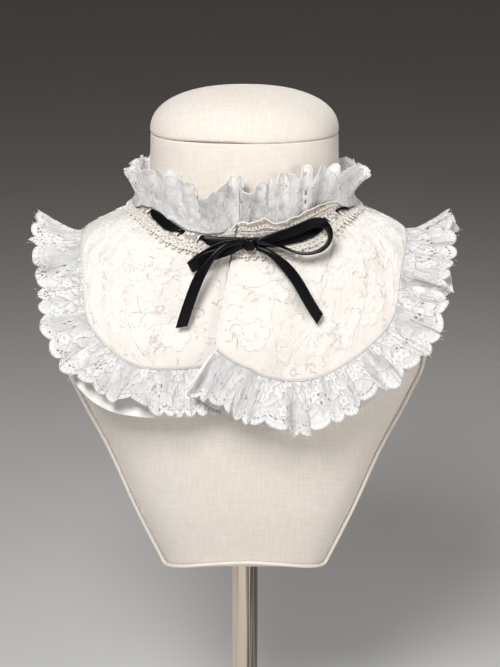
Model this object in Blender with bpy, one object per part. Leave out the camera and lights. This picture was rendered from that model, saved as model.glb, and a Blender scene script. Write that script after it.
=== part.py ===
"""A ruffled lace collar tied with a ribbon bow, worn on a linen display bust that stands on a pole and a round base.

Metres, +Z up, the wearer facing -Y. The origin is the centre of the base's underside.
Everything that lies on the bust is worked out from the bust's own surface: an angle round it, a height on it
and a distance out from it. Angle 0 is the wearer's left side (+X), a quarter turn is the front (-Y).
"""

import math

import bmesh
import bpy
import numpy as np

# ---------------------------------------------------------------------------- driving sizes, in metres
BASE_RADIUS = 0.110
BASE_HEIGHT = 0.008
BASE_EDGE_ROUND = 0.003
POLE_RADIUS = 0.010
POLE_IN_BUST = 0.070
POLE_CLEARANCE = 0.0004
FACE_GAP = 0.0003

BUST_BOTTOM = 0.190
BUST_TOP = 0.521
BUST_ARCH = 0.0105
CAP_RISE = 0.031
CAP_ROUNDING = 2.5
BUST_SEGMENTS = 36

# The bust's level sections: half its width, its reach to the front and to the back, and how square the section is.
BUST_COLUMNS = ("height", "half_width", "front", "back", "squareness")
BUST_ROWS = (
    (0.190, 0.0620, 0.0440, 0.0310, 2.80),
    (0.240, 0.0850, 0.0560, 0.0370, 2.75),
    (0.290, 0.1055, 0.0670, 0.0440, 2.70),
    (0.335, 0.1275, 0.0760, 0.0490, 2.70),
    (0.358, 0.1365, 0.0790, 0.0520, 2.70),
    (0.380, 0.1375, 0.0795, 0.0530, 2.70),
    (0.402, 0.1330, 0.0770, 0.0530, 2.70),
    (0.422, 0.1265, 0.0735, 0.0530, 2.65),
    (0.436, 0.1195, 0.0705, 0.0530, 2.60),
    (0.445, 0.1120, 0.0680, 0.0530, 2.50),
    (0.451, 0.1040, 0.0665, 0.0530, 2.45),
    (0.456, 0.0960, 0.0655, 0.0530, 2.40),
    (0.460, 0.0880, 0.0645, 0.0535, 2.35),
    (0.464, 0.0800, 0.0635, 0.0540, 2.30),
    (0.469, 0.0735, 0.0620, 0.0540, 2.30),
    (0.477, 0.0700, 0.0600, 0.0535, 2.30),
    (0.490, 0.0690, 0.0590, 0.0530, 2.30),
    (0.521, 0.0680, 0.0580, 0.0520, 2.30),
)

PIPING_RADIUS = 0.0013
PIPING_ANGLE = math.radians(22)
PIPING_TOP = 0.425
PIPING_SIDES = 5

# Where the neckline runs on the bust.
NECK_HEIGHT_FRONT = 0.453
NECK_RISE_TO_SIDE = 0.015
NECK_RISE_TO_BACK = 0.002
NECK_SIDE_POWER = 4

# The yoke's outer edge: angle round the bust in degrees, and height. It runs from the right front's centre edge,
# over the wearer's right shoulder (180), round the back and over the left shoulder (360) to the left front's lower
# corner. The lace ruffle and the satin frill have their width there, and the angle at which they stand off the bust.
EDGE_COLUMNS = ("angle", "height", "lace_width", "lace_lift", "satin_width", "satin_lift")
EDGE_ROWS = (
    (91.0, 0.3690, 0.032, 8, 0.032, 2),
    (96.4, 0.3687, 0.034, 20, 0.035, 5),
    (103.1, 0.3666, 0.034, 38, 0.035, 12),
    (110.6, 0.3659, 0.034, 60, 0.034, 26),
    (115.4, 0.3672, 0.034, 66, 0.034, 31),
    (120.9, 0.3715, 0.034, 66, 0.033, 32),
    (126.0, 0.3779, 0.034, 58, 0.033, 30),
    (132.5, 0.3870, 0.034, 42, 0.032, 21),
    (137.9, 0.3960, 0.034, 34, 0.032, 16),
    (141.5, 0.4080, 0.034, 32, 0.032, 14),
    (146.0, 0.4220, 0.034, 36, 0.032, 18),
    (152.3, 0.4315, 0.035, 46, 0.032, 24),
    (163.7, 0.4400, 0.037, 58, 0.033, 30),
    (180.0, 0.4440, 0.038, 68, 0.034, 34),
    (196.3, 0.4400, 0.037, 58, 0.034, 30),
    (207.7, 0.4315, 0.035, 46, 0.034, 24),
    (216.0, 0.4180, 0.035, 40, 0.034, 20),
    (222.0, 0.4040, 0.035, 38, 0.035, 18),
    (229.0, 0.3880, 0.035, 38, 0.035, 18),
    (238.0, 0.3750, 0.035, 36, 0.036, 16),
    (248.0, 0.3660, 0.035, 34, 0.036, 14),
    (259.0, 0.3620, 0.035, 32, 0.036, 12),
    (270.0, 0.3610, 0.035, 32, 0.036, 12),
    (281.0, 0.3620, 0.035, 32, 0.036, 12),
    (292.0, 0.3660, 0.035, 34, 0.036, 14),
    (302.0, 0.3750, 0.035, 36, 0.036, 16),
    (311.0, 0.3880, 0.035, 38, 0.035, 18),
    (318.0, 0.4040, 0.035, 38, 0.035, 18),
    (324.0, 0.4180, 0.035, 40, 0.034, 20),
    (332.3, 0.4315, 0.035, 46, 0.034, 24),
    (343.7, 0.4400, 0.037, 58, 0.034, 30),
    (360.0, 0.4440, 0.038, 68, 0.035, 34),
    (376.3, 0.4410, 0.037, 56, 0.036, 30),
    (388.0, 0.4345, 0.035, 44, 0.036, 24),
    (396.5, 0.4247, 0.035, 34, 0.035, 16),
    (402.0, 0.4102, 0.036, 30, 0.033, 14),
    (407.5, 0.3960, 0.036, 36, 0.032, 16),
    (412.6, 0.3879, 0.035, 44, 0.032, 20),
    (417.0, 0.3821, 0.034, 48, 0.033, 24),
    (421.5, 0.3758, 0.034, 50, 0.034, 24),
    (425.7, 0.3703, 0.034, 50, 0.034, 22),
    (430.7, 0.3640, 0.034, 46, 0.034, 18),
    (435.6, 0.3597, 0.036, 36, 0.034, 14),
    (440.5, 0.3579, 0.039, 32, 0.034, 12),
    (443.9, 0.3591, 0.037, 34, 0.035, 14),
    (447.4, 0.3629, 0.036, 36, 0.036, 16),
    (449.8, 0.3701, 0.036, 38, 0.036, 18),
    (452.0, 0.3770, 0.036, 38, 0.036, 18),
    (454.0, 0.3833, 0.036, 38, 0.035, 18),
)
RIGHT_FRONT_CENTRE = -0.0092
LEFT_FRONT_CENTRE = -0.0050

# Layers, as distances out from the bust. The yoke lies close at the neck and over the ruffles' seam at its edge.
PANEL_THICKNESS = 0.0014
PANEL_AT_NECK = 0.0010
PANEL_AT_EDGE = 0.0058
SATIN_ROOT = 0.0033
LACE_ROOT = 0.0065
RUFFLE_THICKNESS = 0.0010
LAP_RAISE = 0.0054
LAP_START = (0.13, 0.26)
LAP_LENGTH = (0.030, 0.055)
LAPPED_RUFFLE = (0.032, 0.070)
PANEL_COLUMN_SPACING = 0.0120
PANEL_ROWS = (0, 0.07, 0.15, 0.24, 0.36, 0.50, 0.66, 0.83, 1)

# The ruffle round the yoke's edge: gathered scalloped lace over a plain satin frill. Each fold's ridge is wider
# than its hollow, and both bulge past their own sides.
SCALLOP = 0.0100
SCALLOP_DEPTH = 0.0034
LACE_FULLNESS = 1.80
LACE_WAVE = 0.0270
LACE_WAVE_HEIGHT = 0.0085
SATIN_WAVE_SHARE = 0.40
SATIN_COLUMN_SPACING = 0.0054
ROOT_TUCK = 0.003
SEAM_GAP = 0.0010
EVENED_OVER = 0.007
FOLD_LEAN = 0.0020
FOLD_BULGE = 0.0034
RIDGE_WIDEN = 0.0018

# The frill that stands up round the neck.
NECK_WIDTH = 0.039
NECK_FLAT = 0.0100
NECK_WAVE = 0.0175
NECK_WAVE_HEIGHT = 0.0056
NECK_BULGE = 0.0020
NECK_FULLNESS = 1.75
NECK_ROOT = 0.0015
NECK_LIFT_FRONT = 20
NECK_LIFT_SIDE = 33
NECK_LIFT_BACK = 28

# The beading lace that covers the neck seam, and the ribbon threaded through its slots.
BEADING_HALF_HEIGHT = 0.0090
SLOT_HALF_HEIGHT = 0.0045
SLOT_WIDTH = 0.0050
BEADING_OFFSET = 0.0049
BEADING_THICKNESS = 0.0010
BEADING_EDGE_WAVE = 0.0009
BEADING_SPACING = 0.0062
BEADING_CENTRE_GAP = 0.0008
RIBBON_WIDTH = 0.0070
RIBBON_THICKNESS = 0.0010
RIBBON_OUTSIDE = 0.0066
RIBBON_INSIDE = 0.0035
RIBBON_SPACING = 0.0075
RIBBON_CENTRE_GAP = 0.0010
SLOTS_FROM_KNOT = {"right": (0.0345, 0.0490), "left": (0.0615, 0.0760)}
SLOT_REPEAT = 0.050

# The bow, at the throat. Each strip's middle goes through its rows; turn is how far it is turned edge-on to the
# front, in degrees, and width is its share of the ribbon's full width, which is less where it is bunched up.
KNOT_CENTRE = (0.0036, -0.0780, 0.4547)
KNOT_SIZE = (0.0088, 0.0076, 0.0090)
KNOT_ROUND = 0.0024
TAIL_CUT = 0.0040
STRIP_COLUMNS = ("x", "y", "z", "turn", "width")
LOOP_RIGHT_ROUTE = (
    (-0.0017, -0.0790, 0.4545, 0, 0.60),
    (-0.0098, -0.0800, 0.4515, 0, 0.95),
    (-0.0195, -0.0815, 0.4485, 0, 1.00),
    (-0.0292, -0.0820, 0.4445, 0, 1.00),
    (-0.0355, -0.0812, 0.4396, 0, 1.00),
    (-0.0378, -0.0795, 0.4385, 0, 1.00),
    (-0.0349, -0.0778, 0.4410, 0, 1.00),
    (-0.0280, -0.0772, 0.4459, 0, 1.00),
    (-0.0182, -0.0767, 0.4515, 0, 1.00),
    (-0.0092, -0.0762, 0.4545, 0, 0.90),
    (-0.0017, -0.0759, 0.4560, 0, 0.60),
)
LOOP_LEFT_ROUTE = (
    (0.0086, -0.0800, 0.4566, 70, 0.40),
    (0.0144, -0.0803, 0.4560, 80, 0.80),
    (0.0220, -0.0803, 0.4549, 88, 1.00),
    (0.0303, -0.0800, 0.4517, 90, 1.00),
    (0.0387, -0.0790, 0.4486, 90, 1.00),
    (0.0471, -0.0772, 0.4483, 88, 1.00),
    (0.0548, -0.0752, 0.4510, 80, 1.00),
    (0.0593, -0.0737, 0.4567, 74, 1.00),
    (0.0585, -0.0728, 0.4643, 50, 1.00),
    (0.0526, -0.0722, 0.4689, 20, 1.00),
    (0.0435, -0.0728, 0.4670, 4, 1.00),
    (0.0338, -0.0736, 0.4630, 2, 1.00),
    (0.0241, -0.0744, 0.4600, 0, 0.90),
    (0.0158, -0.0750, 0.4577, 0, 0.75),
    (0.0086, -0.0754, 0.4560, 0, 0.60),
)
TAIL_RIGHT_ROUTE = (
    (-0.0010, -0.0806, 0.4566, 0, 0.50),
    (-0.0091, -0.0832, 0.4564, 0, 0.50),
    (-0.0174, -0.0855, 0.4524, 0, 0.50),
    (-0.0246, -0.0875, 0.4440, 0, 0.65),
    (-0.0309, -0.0890, 0.4341, 0, 0.95),
    (-0.0361, -0.0895, 0.4214, 0, 1.00),
    (-0.0404, -0.0888, 0.4090, 0, 1.00),
    (-0.0437, -0.0875, 0.3978, 0, 1.00),
)
TAIL_LEFT_ROUTE = (
    (0.0086, -0.0799, 0.4525, 0, 0.45),
    (0.0151, -0.0822, 0.4508, 0, 0.55),
    (0.0220, -0.0842, 0.4466, 0, 0.70),
    (0.0292, -0.0857, 0.4400, 0, 0.95),
    (0.0365, -0.0865, 0.4306, 0, 1.00),
    (0.0432, -0.0865, 0.4188, 0, 1.00),
    (0.0485, -0.0858, 0.4096, 0, 1.00),
    (0.0528, -0.0850, 0.4029, 0, 1.00),
)

# Part colours: base colour, roughness, metallic.
MATERIALS = {
    "linen": ((0.80, 0.75, 0.68), 0.85, 0.0),
    "yoke_lace": ((0.92, 0.91, 0.89), 0.70, 0.0),
    "ruffle_lace": ((0.90, 0.91, 0.93), 0.75, 0.0),
    "satin": ((0.92, 0.91, 0.90), 0.30, 0.0),
    "beading": ((0.85, 0.80, 0.72), 0.70, 0.0),
    "black_satin": ((0.012, 0.012, 0.016), 0.30, 0.0),
    "chrome": ((0.85, 0.85, 0.86), 0.12, 1.0),
}


# ---------------------------------------------------------------------------- tables and curves
def columns(names, rows):
    """A table's rows as one tuple for each named column."""
    return dict(zip(names, zip(*rows)))


def smooth(at, known, values):
    """A curve through a table's values that doesn't overshoot them."""
    known, values, at = np.asarray(known, float), np.asarray(values, float), np.asarray(at, float)
    steps = np.diff(values) / np.diff(known)
    slopes = np.concatenate([steps[:1], np.zeros(len(steps) - 1), steps[-1:]])
    both = steps[:-1] * steps[1:] > 0
    slopes[1:-1][both] = 2 * steps[:-1][both] * steps[1:][both] / (steps[:-1] + steps[1:])[both]
    i = np.clip(np.searchsorted(known, at, side="right") - 1, 0, len(known) - 2)
    span = known[i + 1] - known[i]
    t = np.clip((at - known[i]) / span, 0, 1)
    ease = t * t * (3 - 2 * t)
    start, end = t * (1 - t) ** 2 * span, -t * t * (1 - t) * span
    return values[i] * (1 - ease) + values[i + 1] * ease + start * slopes[i] + end * slopes[i + 1]


def smoothstep(x, low, high):
    t = np.clip((np.asarray(x, float) - low) / (high - low), 0, 1)
    return t * t * (3 - 2 * t)


def lengths_along(points):
    """How far along its line each point lies, for lines on the last axis but one."""
    steps = np.linalg.norm(np.diff(points, axis=-2), axis=-1)
    return np.concatenate([np.zeros(steps.shape[:-1] + (1,)), np.cumsum(steps, axis=-1)], axis=-1)


def unit(vectors):
    return vectors / np.maximum(np.linalg.norm(vectors, axis=-1, keepdims=True), 1e-12)


def evened(vectors, at):
    """Directions averaged with those nearby, so that what follows them neither bunches up nor splays out."""
    near = np.exp(-0.5 * ((at[:, None] - at[None, :]) / EVENED_OVER) ** 2)
    return unit(near @ vectors)


def curve_through(route, count):
    """count points, evenly spaced, on a smooth curve through the route's points."""
    route = np.asarray(route, float)
    known = lengths_along(route)
    fine = np.stack([natural_spline(known, route[:, k], 40 * len(route)) for k in range(3)], axis=1)
    along = lengths_along(fine)
    wanted = np.linspace(0, along[-1], count)
    return np.stack([np.interp(wanted, along, fine[:, k]) for k in range(3)], axis=1)


def natural_spline(known, values, count):
    """A natural cubic spline through the values, read at count even steps."""
    n, h = len(known), np.diff(known)
    matrix, right = np.eye(n), np.zeros(n)
    for i in range(1, n - 1):
        matrix[i, i - 1 : i + 2] = h[i - 1], 2 * (h[i - 1] + h[i]), h[i]
        right[i] = 6 * ((values[i + 1] - values[i]) / h[i] - (values[i] - values[i - 1]) / h[i - 1])
    bend = np.linalg.solve(matrix, right)
    at = np.linspace(known[0], known[-1], count)
    i = np.clip(np.searchsorted(known, at) - 1, 0, n - 2)
    a, b = known[i + 1] - at, at - known[i]
    return (
        (bend[i] * a**3 + bend[i + 1] * b**3) / (6 * h[i])
        + (values[i] / h[i] - bend[i] * h[i] / 6) * a
        + (values[i + 1] / h[i] - bend[i + 1] * h[i] / 6) * b
    )


# ---------------------------------------------------------------------------- the bust's surface
BUST = columns(BUST_COLUMNS, BUST_ROWS)


def bust_size(name, height):
    return smooth(height, BUST["height"], BUST[name])


def bust_points(angle, height):
    """Points on the bust, at an angle round it and a height."""
    power = 2 / bust_size("squareness", height)
    c, s = np.cos(angle), np.sin(angle)
    reach = np.where(s >= 0, bust_size("front", height), bust_size("back", height))
    x = bust_size("half_width", height) * np.sign(c) * np.abs(c) ** power
    y = -reach * np.sign(s) * np.abs(s) ** power
    return np.stack([x, y, height + 0 * x], axis=-1)


def bust_normals(points):
    """The outward direction of the bust's surface at points on it."""
    x, y, height = points[..., 0], points[..., 1], points[..., 2]
    width, n = bust_size("half_width", height), bust_size("squareness", height)
    reach = np.where(y <= 0, bust_size("front", height), bust_size("back", height))
    step = 0.0005
    grow_width = (bust_size("half_width", height + step) - bust_size("half_width", height - step)) / (2 * step)
    grow_front = bust_size("front", height + step) - bust_size("front", height - step)
    grow_back = bust_size("back", height + step) - bust_size("back", height - step)
    grow_reach = np.where(y <= 0, grow_front, grow_back) / (2 * step)
    across, along = np.abs(x) / width, np.abs(y) / reach
    gradient = np.stack(
        [
            np.sign(x) * across ** (n - 1) / width,
            np.sign(y) * along ** (n - 1) / reach,
            -(across**n) * grow_width / width - along**n * grow_reach / reach,
        ],
        axis=-1,
    )
    return unit(gradient)


def off_bust(angle, height, distance):
    """Points at a distance out from the bust's surface."""
    points = bust_points(angle, height)
    return points + bust_normals(points) * np.asarray(distance, float)[..., None]


def angle_at(x, height):
    """The angle, from the side, at which the bust's surface is x across at that height."""
    share = np.clip(np.abs(x) / bust_size("half_width", height), 0, 1)
    return np.arccos(np.sign(x) * share ** (bust_size("squareness", height) / 2))


def neck_height(angle):
    """The height of the neckline seam."""
    s = np.sin(angle)
    front = NECK_HEIGHT_FRONT + NECK_RISE_TO_SIDE * (1 - np.abs(s) ** NECK_SIDE_POWER)
    back = NECK_HEIGHT_FRONT + NECK_RISE_TO_SIDE + NECK_RISE_TO_BACK * s * s
    return np.where(s >= 0, front, back)


def height_from_neckline(angle, distance):
    """The heights that lie these distances down the bust's surface from the neckline, one row for each angle."""
    heights = np.linspace(BUST_TOP, 0.40, 160)
    found = []
    for one in np.atleast_1d(angle):
        profile = bust_points(np.full(len(heights), one), heights)
        along = lengths_along(profile)
        start = np.interp(-neck_height(one), -heights, along)
        found.append(np.interp(start + np.asarray(distance), along, heights))
    return np.array(found)


def row_of_angles(low, high, spacing, distance):
    """Angles round the neckline, evenly spaced in length at a distance off the bust, and their lengths from low."""
    angles = np.linspace(low, high, 721)
    along = lengths_along(off_bust(angles, neck_height(angles), np.full(len(angles), distance)))
    count = max(2, round(along[-1] / spacing)) + 1
    wanted = np.linspace(0, along[-1], count)
    return np.interp(wanted, along, angles), wanted


# ---------------------------------------------------------------------------- meshes
def material(name):
    made = bpy.data.materials.get(name)
    if made is None:
        colour, roughness, metallic = MATERIALS[name]
        made = bpy.data.materials.new(name)
        made.use_nodes = True
        shader = made.node_tree.nodes["Principled BSDF"]
        shader.inputs["Base Color"].default_value = (*colour, 1)
        shader.inputs["Roughness"].default_value = roughness
        shader.inputs["Metallic"].default_value = metallic
    return made


def new_object(name, points, faces, finish):
    """A closed mesh object with its faces turned outwards."""
    points = np.asarray(points, float)
    volume = sum(
        np.dot(points[f[0]], np.cross(points[f[i]], points[f[i + 1]])) for f in faces for i in range(1, len(f) - 1)
    )
    if volume < 0:
        faces = [tuple(reversed(f)) for f in faces]
    mesh = bpy.data.meshes.new(name)
    mesh.from_pydata(points.tolist(), [], faces)
    mesh.materials.append(material(finish))
    mesh.shade_smooth()
    mesh.set_sharp_from_angle(angle=math.radians(50))
    made = bpy.data.objects.new(name, mesh)
    bpy.context.scene.collection.objects.link(made)
    return made


def wall(name, inner, outer, finish, holes=()):
    """A thin solid between two grids of points, closed round its rim and round each hole (a missing cell)."""
    across, down = inner.shape[:2]
    present = np.ones((across - 1, down - 1), bool)
    for i, j in holes:
        present[i, j] = False
    count = across * down
    middle = ((inner + outer) / 2).reshape(-1, 3)

    faces = []
    for i, j in np.argwhere(present):
        ring = (i * down + j, (i + 1) * down + j, (i + 1) * down + j + 1, i * down + j + 1)
        a, b, c, d = ring
        first_shorter = np.linalg.norm(middle[a] - middle[c]) <= np.linalg.norm(middle[b] - middle[d])
        for corners in ((a, b, c), (a, c, d)) if first_shorter else ((a, b, d), (b, c, d)):
            faces.append(tuple(k + count for k in corners))
            faces.append(tuple(reversed(corners)))
        for side, (a, b) in enumerate(((i, j - 1), (i + 1, j), (i, j + 1), (i - 1, j))):
            if 0 <= a < across - 1 and 0 <= b < down - 1 and present[a, b]:
                continue
            first, second = ring[side], ring[(side + 1) % 4]
            faces.append((first, second, second + count, first + count))
    points = np.concatenate([inner.reshape(-1, 3), outer.reshape(-1, 3)])
    used = sorted({int(k) for f in faces for k in f})
    place = {k: n for n, k in enumerate(used)}
    return new_object(name, points[used], [tuple(place[int(k)] for k in f) for f in faces], finish)


def faces_of(middle, thickness):
    """The two faces of a wall of even thickness round a grid of middle points."""
    along, down = np.gradient(middle, axis=0), np.gradient(middle, axis=1)
    normals = unit(np.cross(along, down))
    return middle - normals * thickness / 2, middle + normals * thickness / 2


def cut_free(grid, first, last):
    """The columns of a grid from first to last, drawn back a little from a neighbour at either end."""
    piece = grid[first : last + 1].copy()
    if first:
        piece[0] += unit(piece[1] - piece[0]) * SEAM_GAP / 2
    if last < len(grid) - 1:
        piece[-1] += unit(piece[-2] - piece[-1]) * SEAM_GAP / 2
    return piece


def loft(name, rings, finish, ruled_start=False):
    """A solid through closed rings of points, with flat ends, or a start ruled between its front and back halves."""
    count = rings.shape[1]
    faces = [tuple((len(rings) - 1) * count + k for k in reversed(range(count)))]
    if ruled_start:
        faces += [(0, 1, count - 1), (count // 2 - 1, count // 2, count // 2 + 1)]
        faces += [(k, k + 1, count - k - 1, count - k) for k in range(1, count // 2 - 1)]
    else:
        faces.append(tuple(range(count)))
    for i in range(len(rings) - 1):
        for k in range(count):
            after = (k + 1) % count
            faces.append((i * count + k, (i + 1) * count + k, (i + 1) * count + after, i * count + after))
    return new_object(name, rings.reshape(-1, 3), faces, finish)


def turned(name, profile, sides, finish):
    """A solid turned round the Z axis from (radius, height) pairs."""
    turn = np.linspace(0, 2 * math.pi, sides, endpoint=False)
    rings = [np.stack([r * np.cos(turn), r * np.sin(turn), z + 0 * turn], axis=1) for r, z in profile]
    return loft(name, np.array(rings), finish)


# ---------------------------------------------------------------------------- the stand and the bust
def make_stand():
    """A weighted round base, and the pole that goes from it up into the bust."""
    corner = [math.radians(a) for a in (0, 45, 90)]
    inside, flat = BASE_RADIUS - BASE_EDGE_ROUND, BASE_HEIGHT - BASE_EDGE_ROUND
    rim = [(inside + BASE_EDGE_ROUND * math.cos(a), flat + BASE_EDGE_ROUND * math.sin(a)) for a in corner]
    turned("base_plate", [(BASE_RADIUS - 0.001, 0), (BASE_RADIUS, 0.001), *rim], 40, "chrome")
    pole_top = BUST_BOTTOM + POLE_IN_BUST - FACE_GAP
    turned("pole", [(POLE_RADIUS, BASE_HEIGHT + FACE_GAP), (POLE_RADIUS, pole_top)], 32, "chrome")


def make_bust():
    """The linen-covered bust, bored for the pole, with its padded top piece."""
    angles = np.linspace(0, 2 * math.pi, BUST_SEGMENTS, endpoint=False)
    rings = np.array([bust_points(angles, np.full(BUST_SEGMENTS, row[0])) for row in BUST_ROWS])
    rings[0, :, 2] += BUST_ARCH * (1 - (rings[0, :, 0] / BUST_ROWS[0][1]) ** 2)
    bust = loft("bust_body", rings, "linen", ruled_start=True)
    bore_radius = POLE_RADIUS + POLE_CLEARANCE
    bore_ends = [(bore_radius, BUST_BOTTOM - 0.02), (bore_radius, BUST_BOTTOM + POLE_IN_BUST)]
    cutter = turned("pole_bore_cutter", bore_ends, 32, "chrome")
    cutter.hide_render = True
    cutter.display_type = "WIRE"
    cut = bust.modifiers.new("pole bore", "BOOLEAN")
    cut.operation = "DIFFERENCE"
    cut.solver = "EXACT"
    cut.object = cutter
    rim = bust_points(angles, np.full(BUST_SEGMENTS, BUST_TOP))
    start = BUST_TOP + FACE_GAP
    layers = [rim * (0.985, 0.985, 0) + (0, 0, start)]
    for share in (0.0, 0.30, 0.58, 0.80, 0.94, 0.985):
        shrink = (1 - share**CAP_ROUNDING) ** (1 / CAP_ROUNDING)
        layers.append(rim * (1.004 * shrink, 1.004 * shrink, 0) + (0, 0, start + 0.0015 + CAP_RISE * share))
    loft("bust_top_cap", np.array(layers), "linen")


def make_piping():
    """The covered cord sewn down both front edges of the bust and along its front hem, in one length."""
    down = np.linspace(PIPING_TOP, BUST_BOTTOM + 0.004, 16)
    side = off_bust(np.full(len(down), PIPING_ANGLE), down, np.full(len(down), PIPING_RADIUS + 2 * FACE_GAP))
    hem_angles = np.linspace(PIPING_ANGLE, math.pi - PIPING_ANGLE, 18)[1:-1]
    height = np.full(len(hem_angles), BUST_BOTTOM + 0.002)
    hem = off_bust(hem_angles, height, np.full(len(hem_angles), PIPING_RADIUS + 2 * FACE_GAP))
    hem[:, 2] += BUST_ARCH * (1 - (hem[:, 0] / BUST_ROWS[0][1]) ** 2)
    other = (side * (-1, 1, 1))[::-1]
    route = np.concatenate([side, hem, other])
    forward = unit(np.gradient(route, axis=0))
    out = unit(np.cross(np.cross(forward, route * (1, 1, 0)), forward))
    beside = np.cross(forward, out)
    turn = np.linspace(0, 2 * math.pi, PIPING_SIDES, endpoint=False)
    rings = (
        route[:, None]
        + PIPING_RADIUS * np.cos(turn)[None, :, None] * out[:, None]
        + PIPING_RADIUS * np.sin(turn)[None, :, None] * beside[:, None]
    )
    loft("bust_piping", rings, "linen")


# ---------------------------------------------------------------------------- the yoke
class Edge:
    """The yoke's outer edge, at even steps: its angle, height, place on the bust, and the directions there."""

    def __init__(self, spacing):
        table = columns(EDGE_COLUMNS, EDGE_ROWS)
        angles, heights = np.radians(table["angle"]), np.array(table["height"])
        known = lengths_along(bust_points(angles, heights))
        fine = np.linspace(0, known[-1], 3000)
        along = lengths_along(bust_points(smooth(fine, known, angles), smooth(fine, known, heights)))
        self.length = along[-1]
        self.at = np.linspace(0, self.length, round(self.length / spacing) + 1)
        place = np.interp(self.at, along, fine)
        self.angle, self.height = smooth(place, known, angles), smooth(place, known, heights)
        self.table = {name: smooth(place, known, table[name]) for name in EDGE_COLUMNS[2:]}
        self.tips = np.interp((math.pi, 2 * math.pi), np.interp(self.at, along, smooth(fine, known, angles)), self.at)
        self.points = bust_points(self.angle, self.height)
        self.normal = evened(bust_normals(self.points), self.at)
        self.forward = evened(unit(np.gradient(self.points, axis=0)), self.at)
        self.outward = unit(np.cross(self.normal, self.forward))
        self.lap = LAP_RAISE * (1 - smoothstep(self.length - self.at, *LAP_LENGTH))


def neck_angles_of(edge):
    """Where on the neckline each column of the yoke starts. The fronts and the back each share out their own part."""
    front_start = float(angle_at(RIGHT_FRONT_CENTRE, NECK_HEIGHT_FRONT))
    front_end = float(angle_at(LEFT_FRONT_CENTRE, NECK_HEIGHT_FRONT)) + 2 * math.pi
    stops = [0, *edge.tips, edge.length]
    return np.interp(edge.at, stops, [front_start, math.pi, 2 * math.pi, front_end])


def yoke_paths(edge):
    """For each column, the angles and heights of its rows from the neckline to the edge."""
    neck = neck_angles_of(edge)
    share = np.linspace(0, 1, 60)
    start = neck_height(neck)
    heights = start[:, None] + (edge.height - start)[:, None] * share
    turn = share[None, :] * np.ones((len(neck), 1))
    for _ in range(3):
        angles = neck[:, None] + (edge.angle - neck)[:, None] * turn
        along = lengths_along(bust_points(angles, heights))
        turn = along / along[:, -1:]
    wanted = np.array(PANEL_ROWS)
    angles = np.array([np.interp(wanted, t, a) for t, a in zip(turn, angles)])
    heights = np.array([np.interp(wanted, t, h) for t, h in zip(turn, heights)])
    return angles, heights, wanted


def make_yoke():
    """The yoke's two fronts and its back: lace over a lining, sewn at the shoulders. The left front laps the right."""
    edge = Edge(PANEL_COLUMN_SPACING)
    angles, heights, share = yoke_paths(edge)
    rise = share**1.6
    distance = PANEL_AT_NECK + (PANEL_AT_EDGE - PANEL_AT_NECK) * rise[None, :]
    distance = distance + edge.lap[:, None] * smoothstep(share, *LAP_START)[None, :]
    splits = [int(np.argmin(np.abs(edge.at - tip))) for tip in edge.tips]
    faces = [off_bust(angles, heights, distance + more) for more in (0, PANEL_THICKNESS)]
    pieces = {
        "yoke_front_right": (0, splits[0]),
        "yoke_back": tuple(splits),
        "yoke_front_left": (splits[1], len(edge.at) - 1),
    }
    for name, (first, last) in pieces.items():
        wall(name, *(cut_free(face, first, last) for face in faces), "yoke_lace")


# ---------------------------------------------------------------------------- the ruffles
def fold_phase(at, length, wave, seed):
    """The folds' phase along a gathered edge, with uneven spacing that is the same at each run."""
    count = round(length / wave)
    uneven = np.random.default_rng(seed).uniform(-0.16, 0.16, count + 1)
    uneven[[0, -1]] = 0
    stops = (np.arange(count + 1) + uneven) * length / count
    return 2 * math.pi * np.interp(at, stops, np.arange(count + 1))


def fold_strength(at, length, wave, seed):
    """How deep each fold is, from 0.75 to 1.15."""
    count = round(length / wave) + 1
    values = np.random.default_rng(seed).uniform(0.75, 1.15, count)
    return smooth(at, np.linspace(0, length, count), values)


def wave_of(phase, strength, tall, share, bulge, widen):
    """How far a fold moves off its strip and along it, where the strip waves with this share of its full depth."""
    off = np.sin(phase) * strength * tall * share
    along = FOLD_LEAN * np.sin(phase) * share
    along = along - (bulge * np.sin(2 * phase) + widen * np.cos(phase)) * strength * share**1.5
    return off, along


def ruffle_grid(edge, root, width, lift, tall, phase, strength, fullness):
    """Middle points of a gathered strip: it leaves the seam along the bust, turns up by its lift, and waves."""
    shares = (0.10, 0.48, 1.0)
    waves = (0.10, 0.60, 1.0)
    turns = (0.35, 0.85, 1.0)
    place = root
    grid = [place]
    before = 0.0
    across = edge.normal * np.cos(lift)[:, None] - edge.outward * np.sin(lift)[:, None]
    for share, wave, turn in zip(shares, waves, turns):
        onward = edge.outward * np.cos(lift * turn)[:, None] + edge.normal * np.sin(lift * turn)[:, None]
        place = place + onward * (width * (share - before))[:, None]
        before = share
        off, along = wave_of(phase, strength, tall, wave, FOLD_BULGE * fullness, RIDGE_WIDEN * fullness)
        grid.append(place + across * off[:, None] + edge.forward * along[:, None])
    return np.stack(grid, axis=1)


def cut_scallops(grid):
    """The strip's last row cut in scallops: a notch and a tip by turns."""
    notch = np.arange(len(grid)) % 2 == 0
    grid[notch, -1] += unit(grid[notch, -2] - grid[notch, -1]) * SCALLOP_DEPTH


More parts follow.
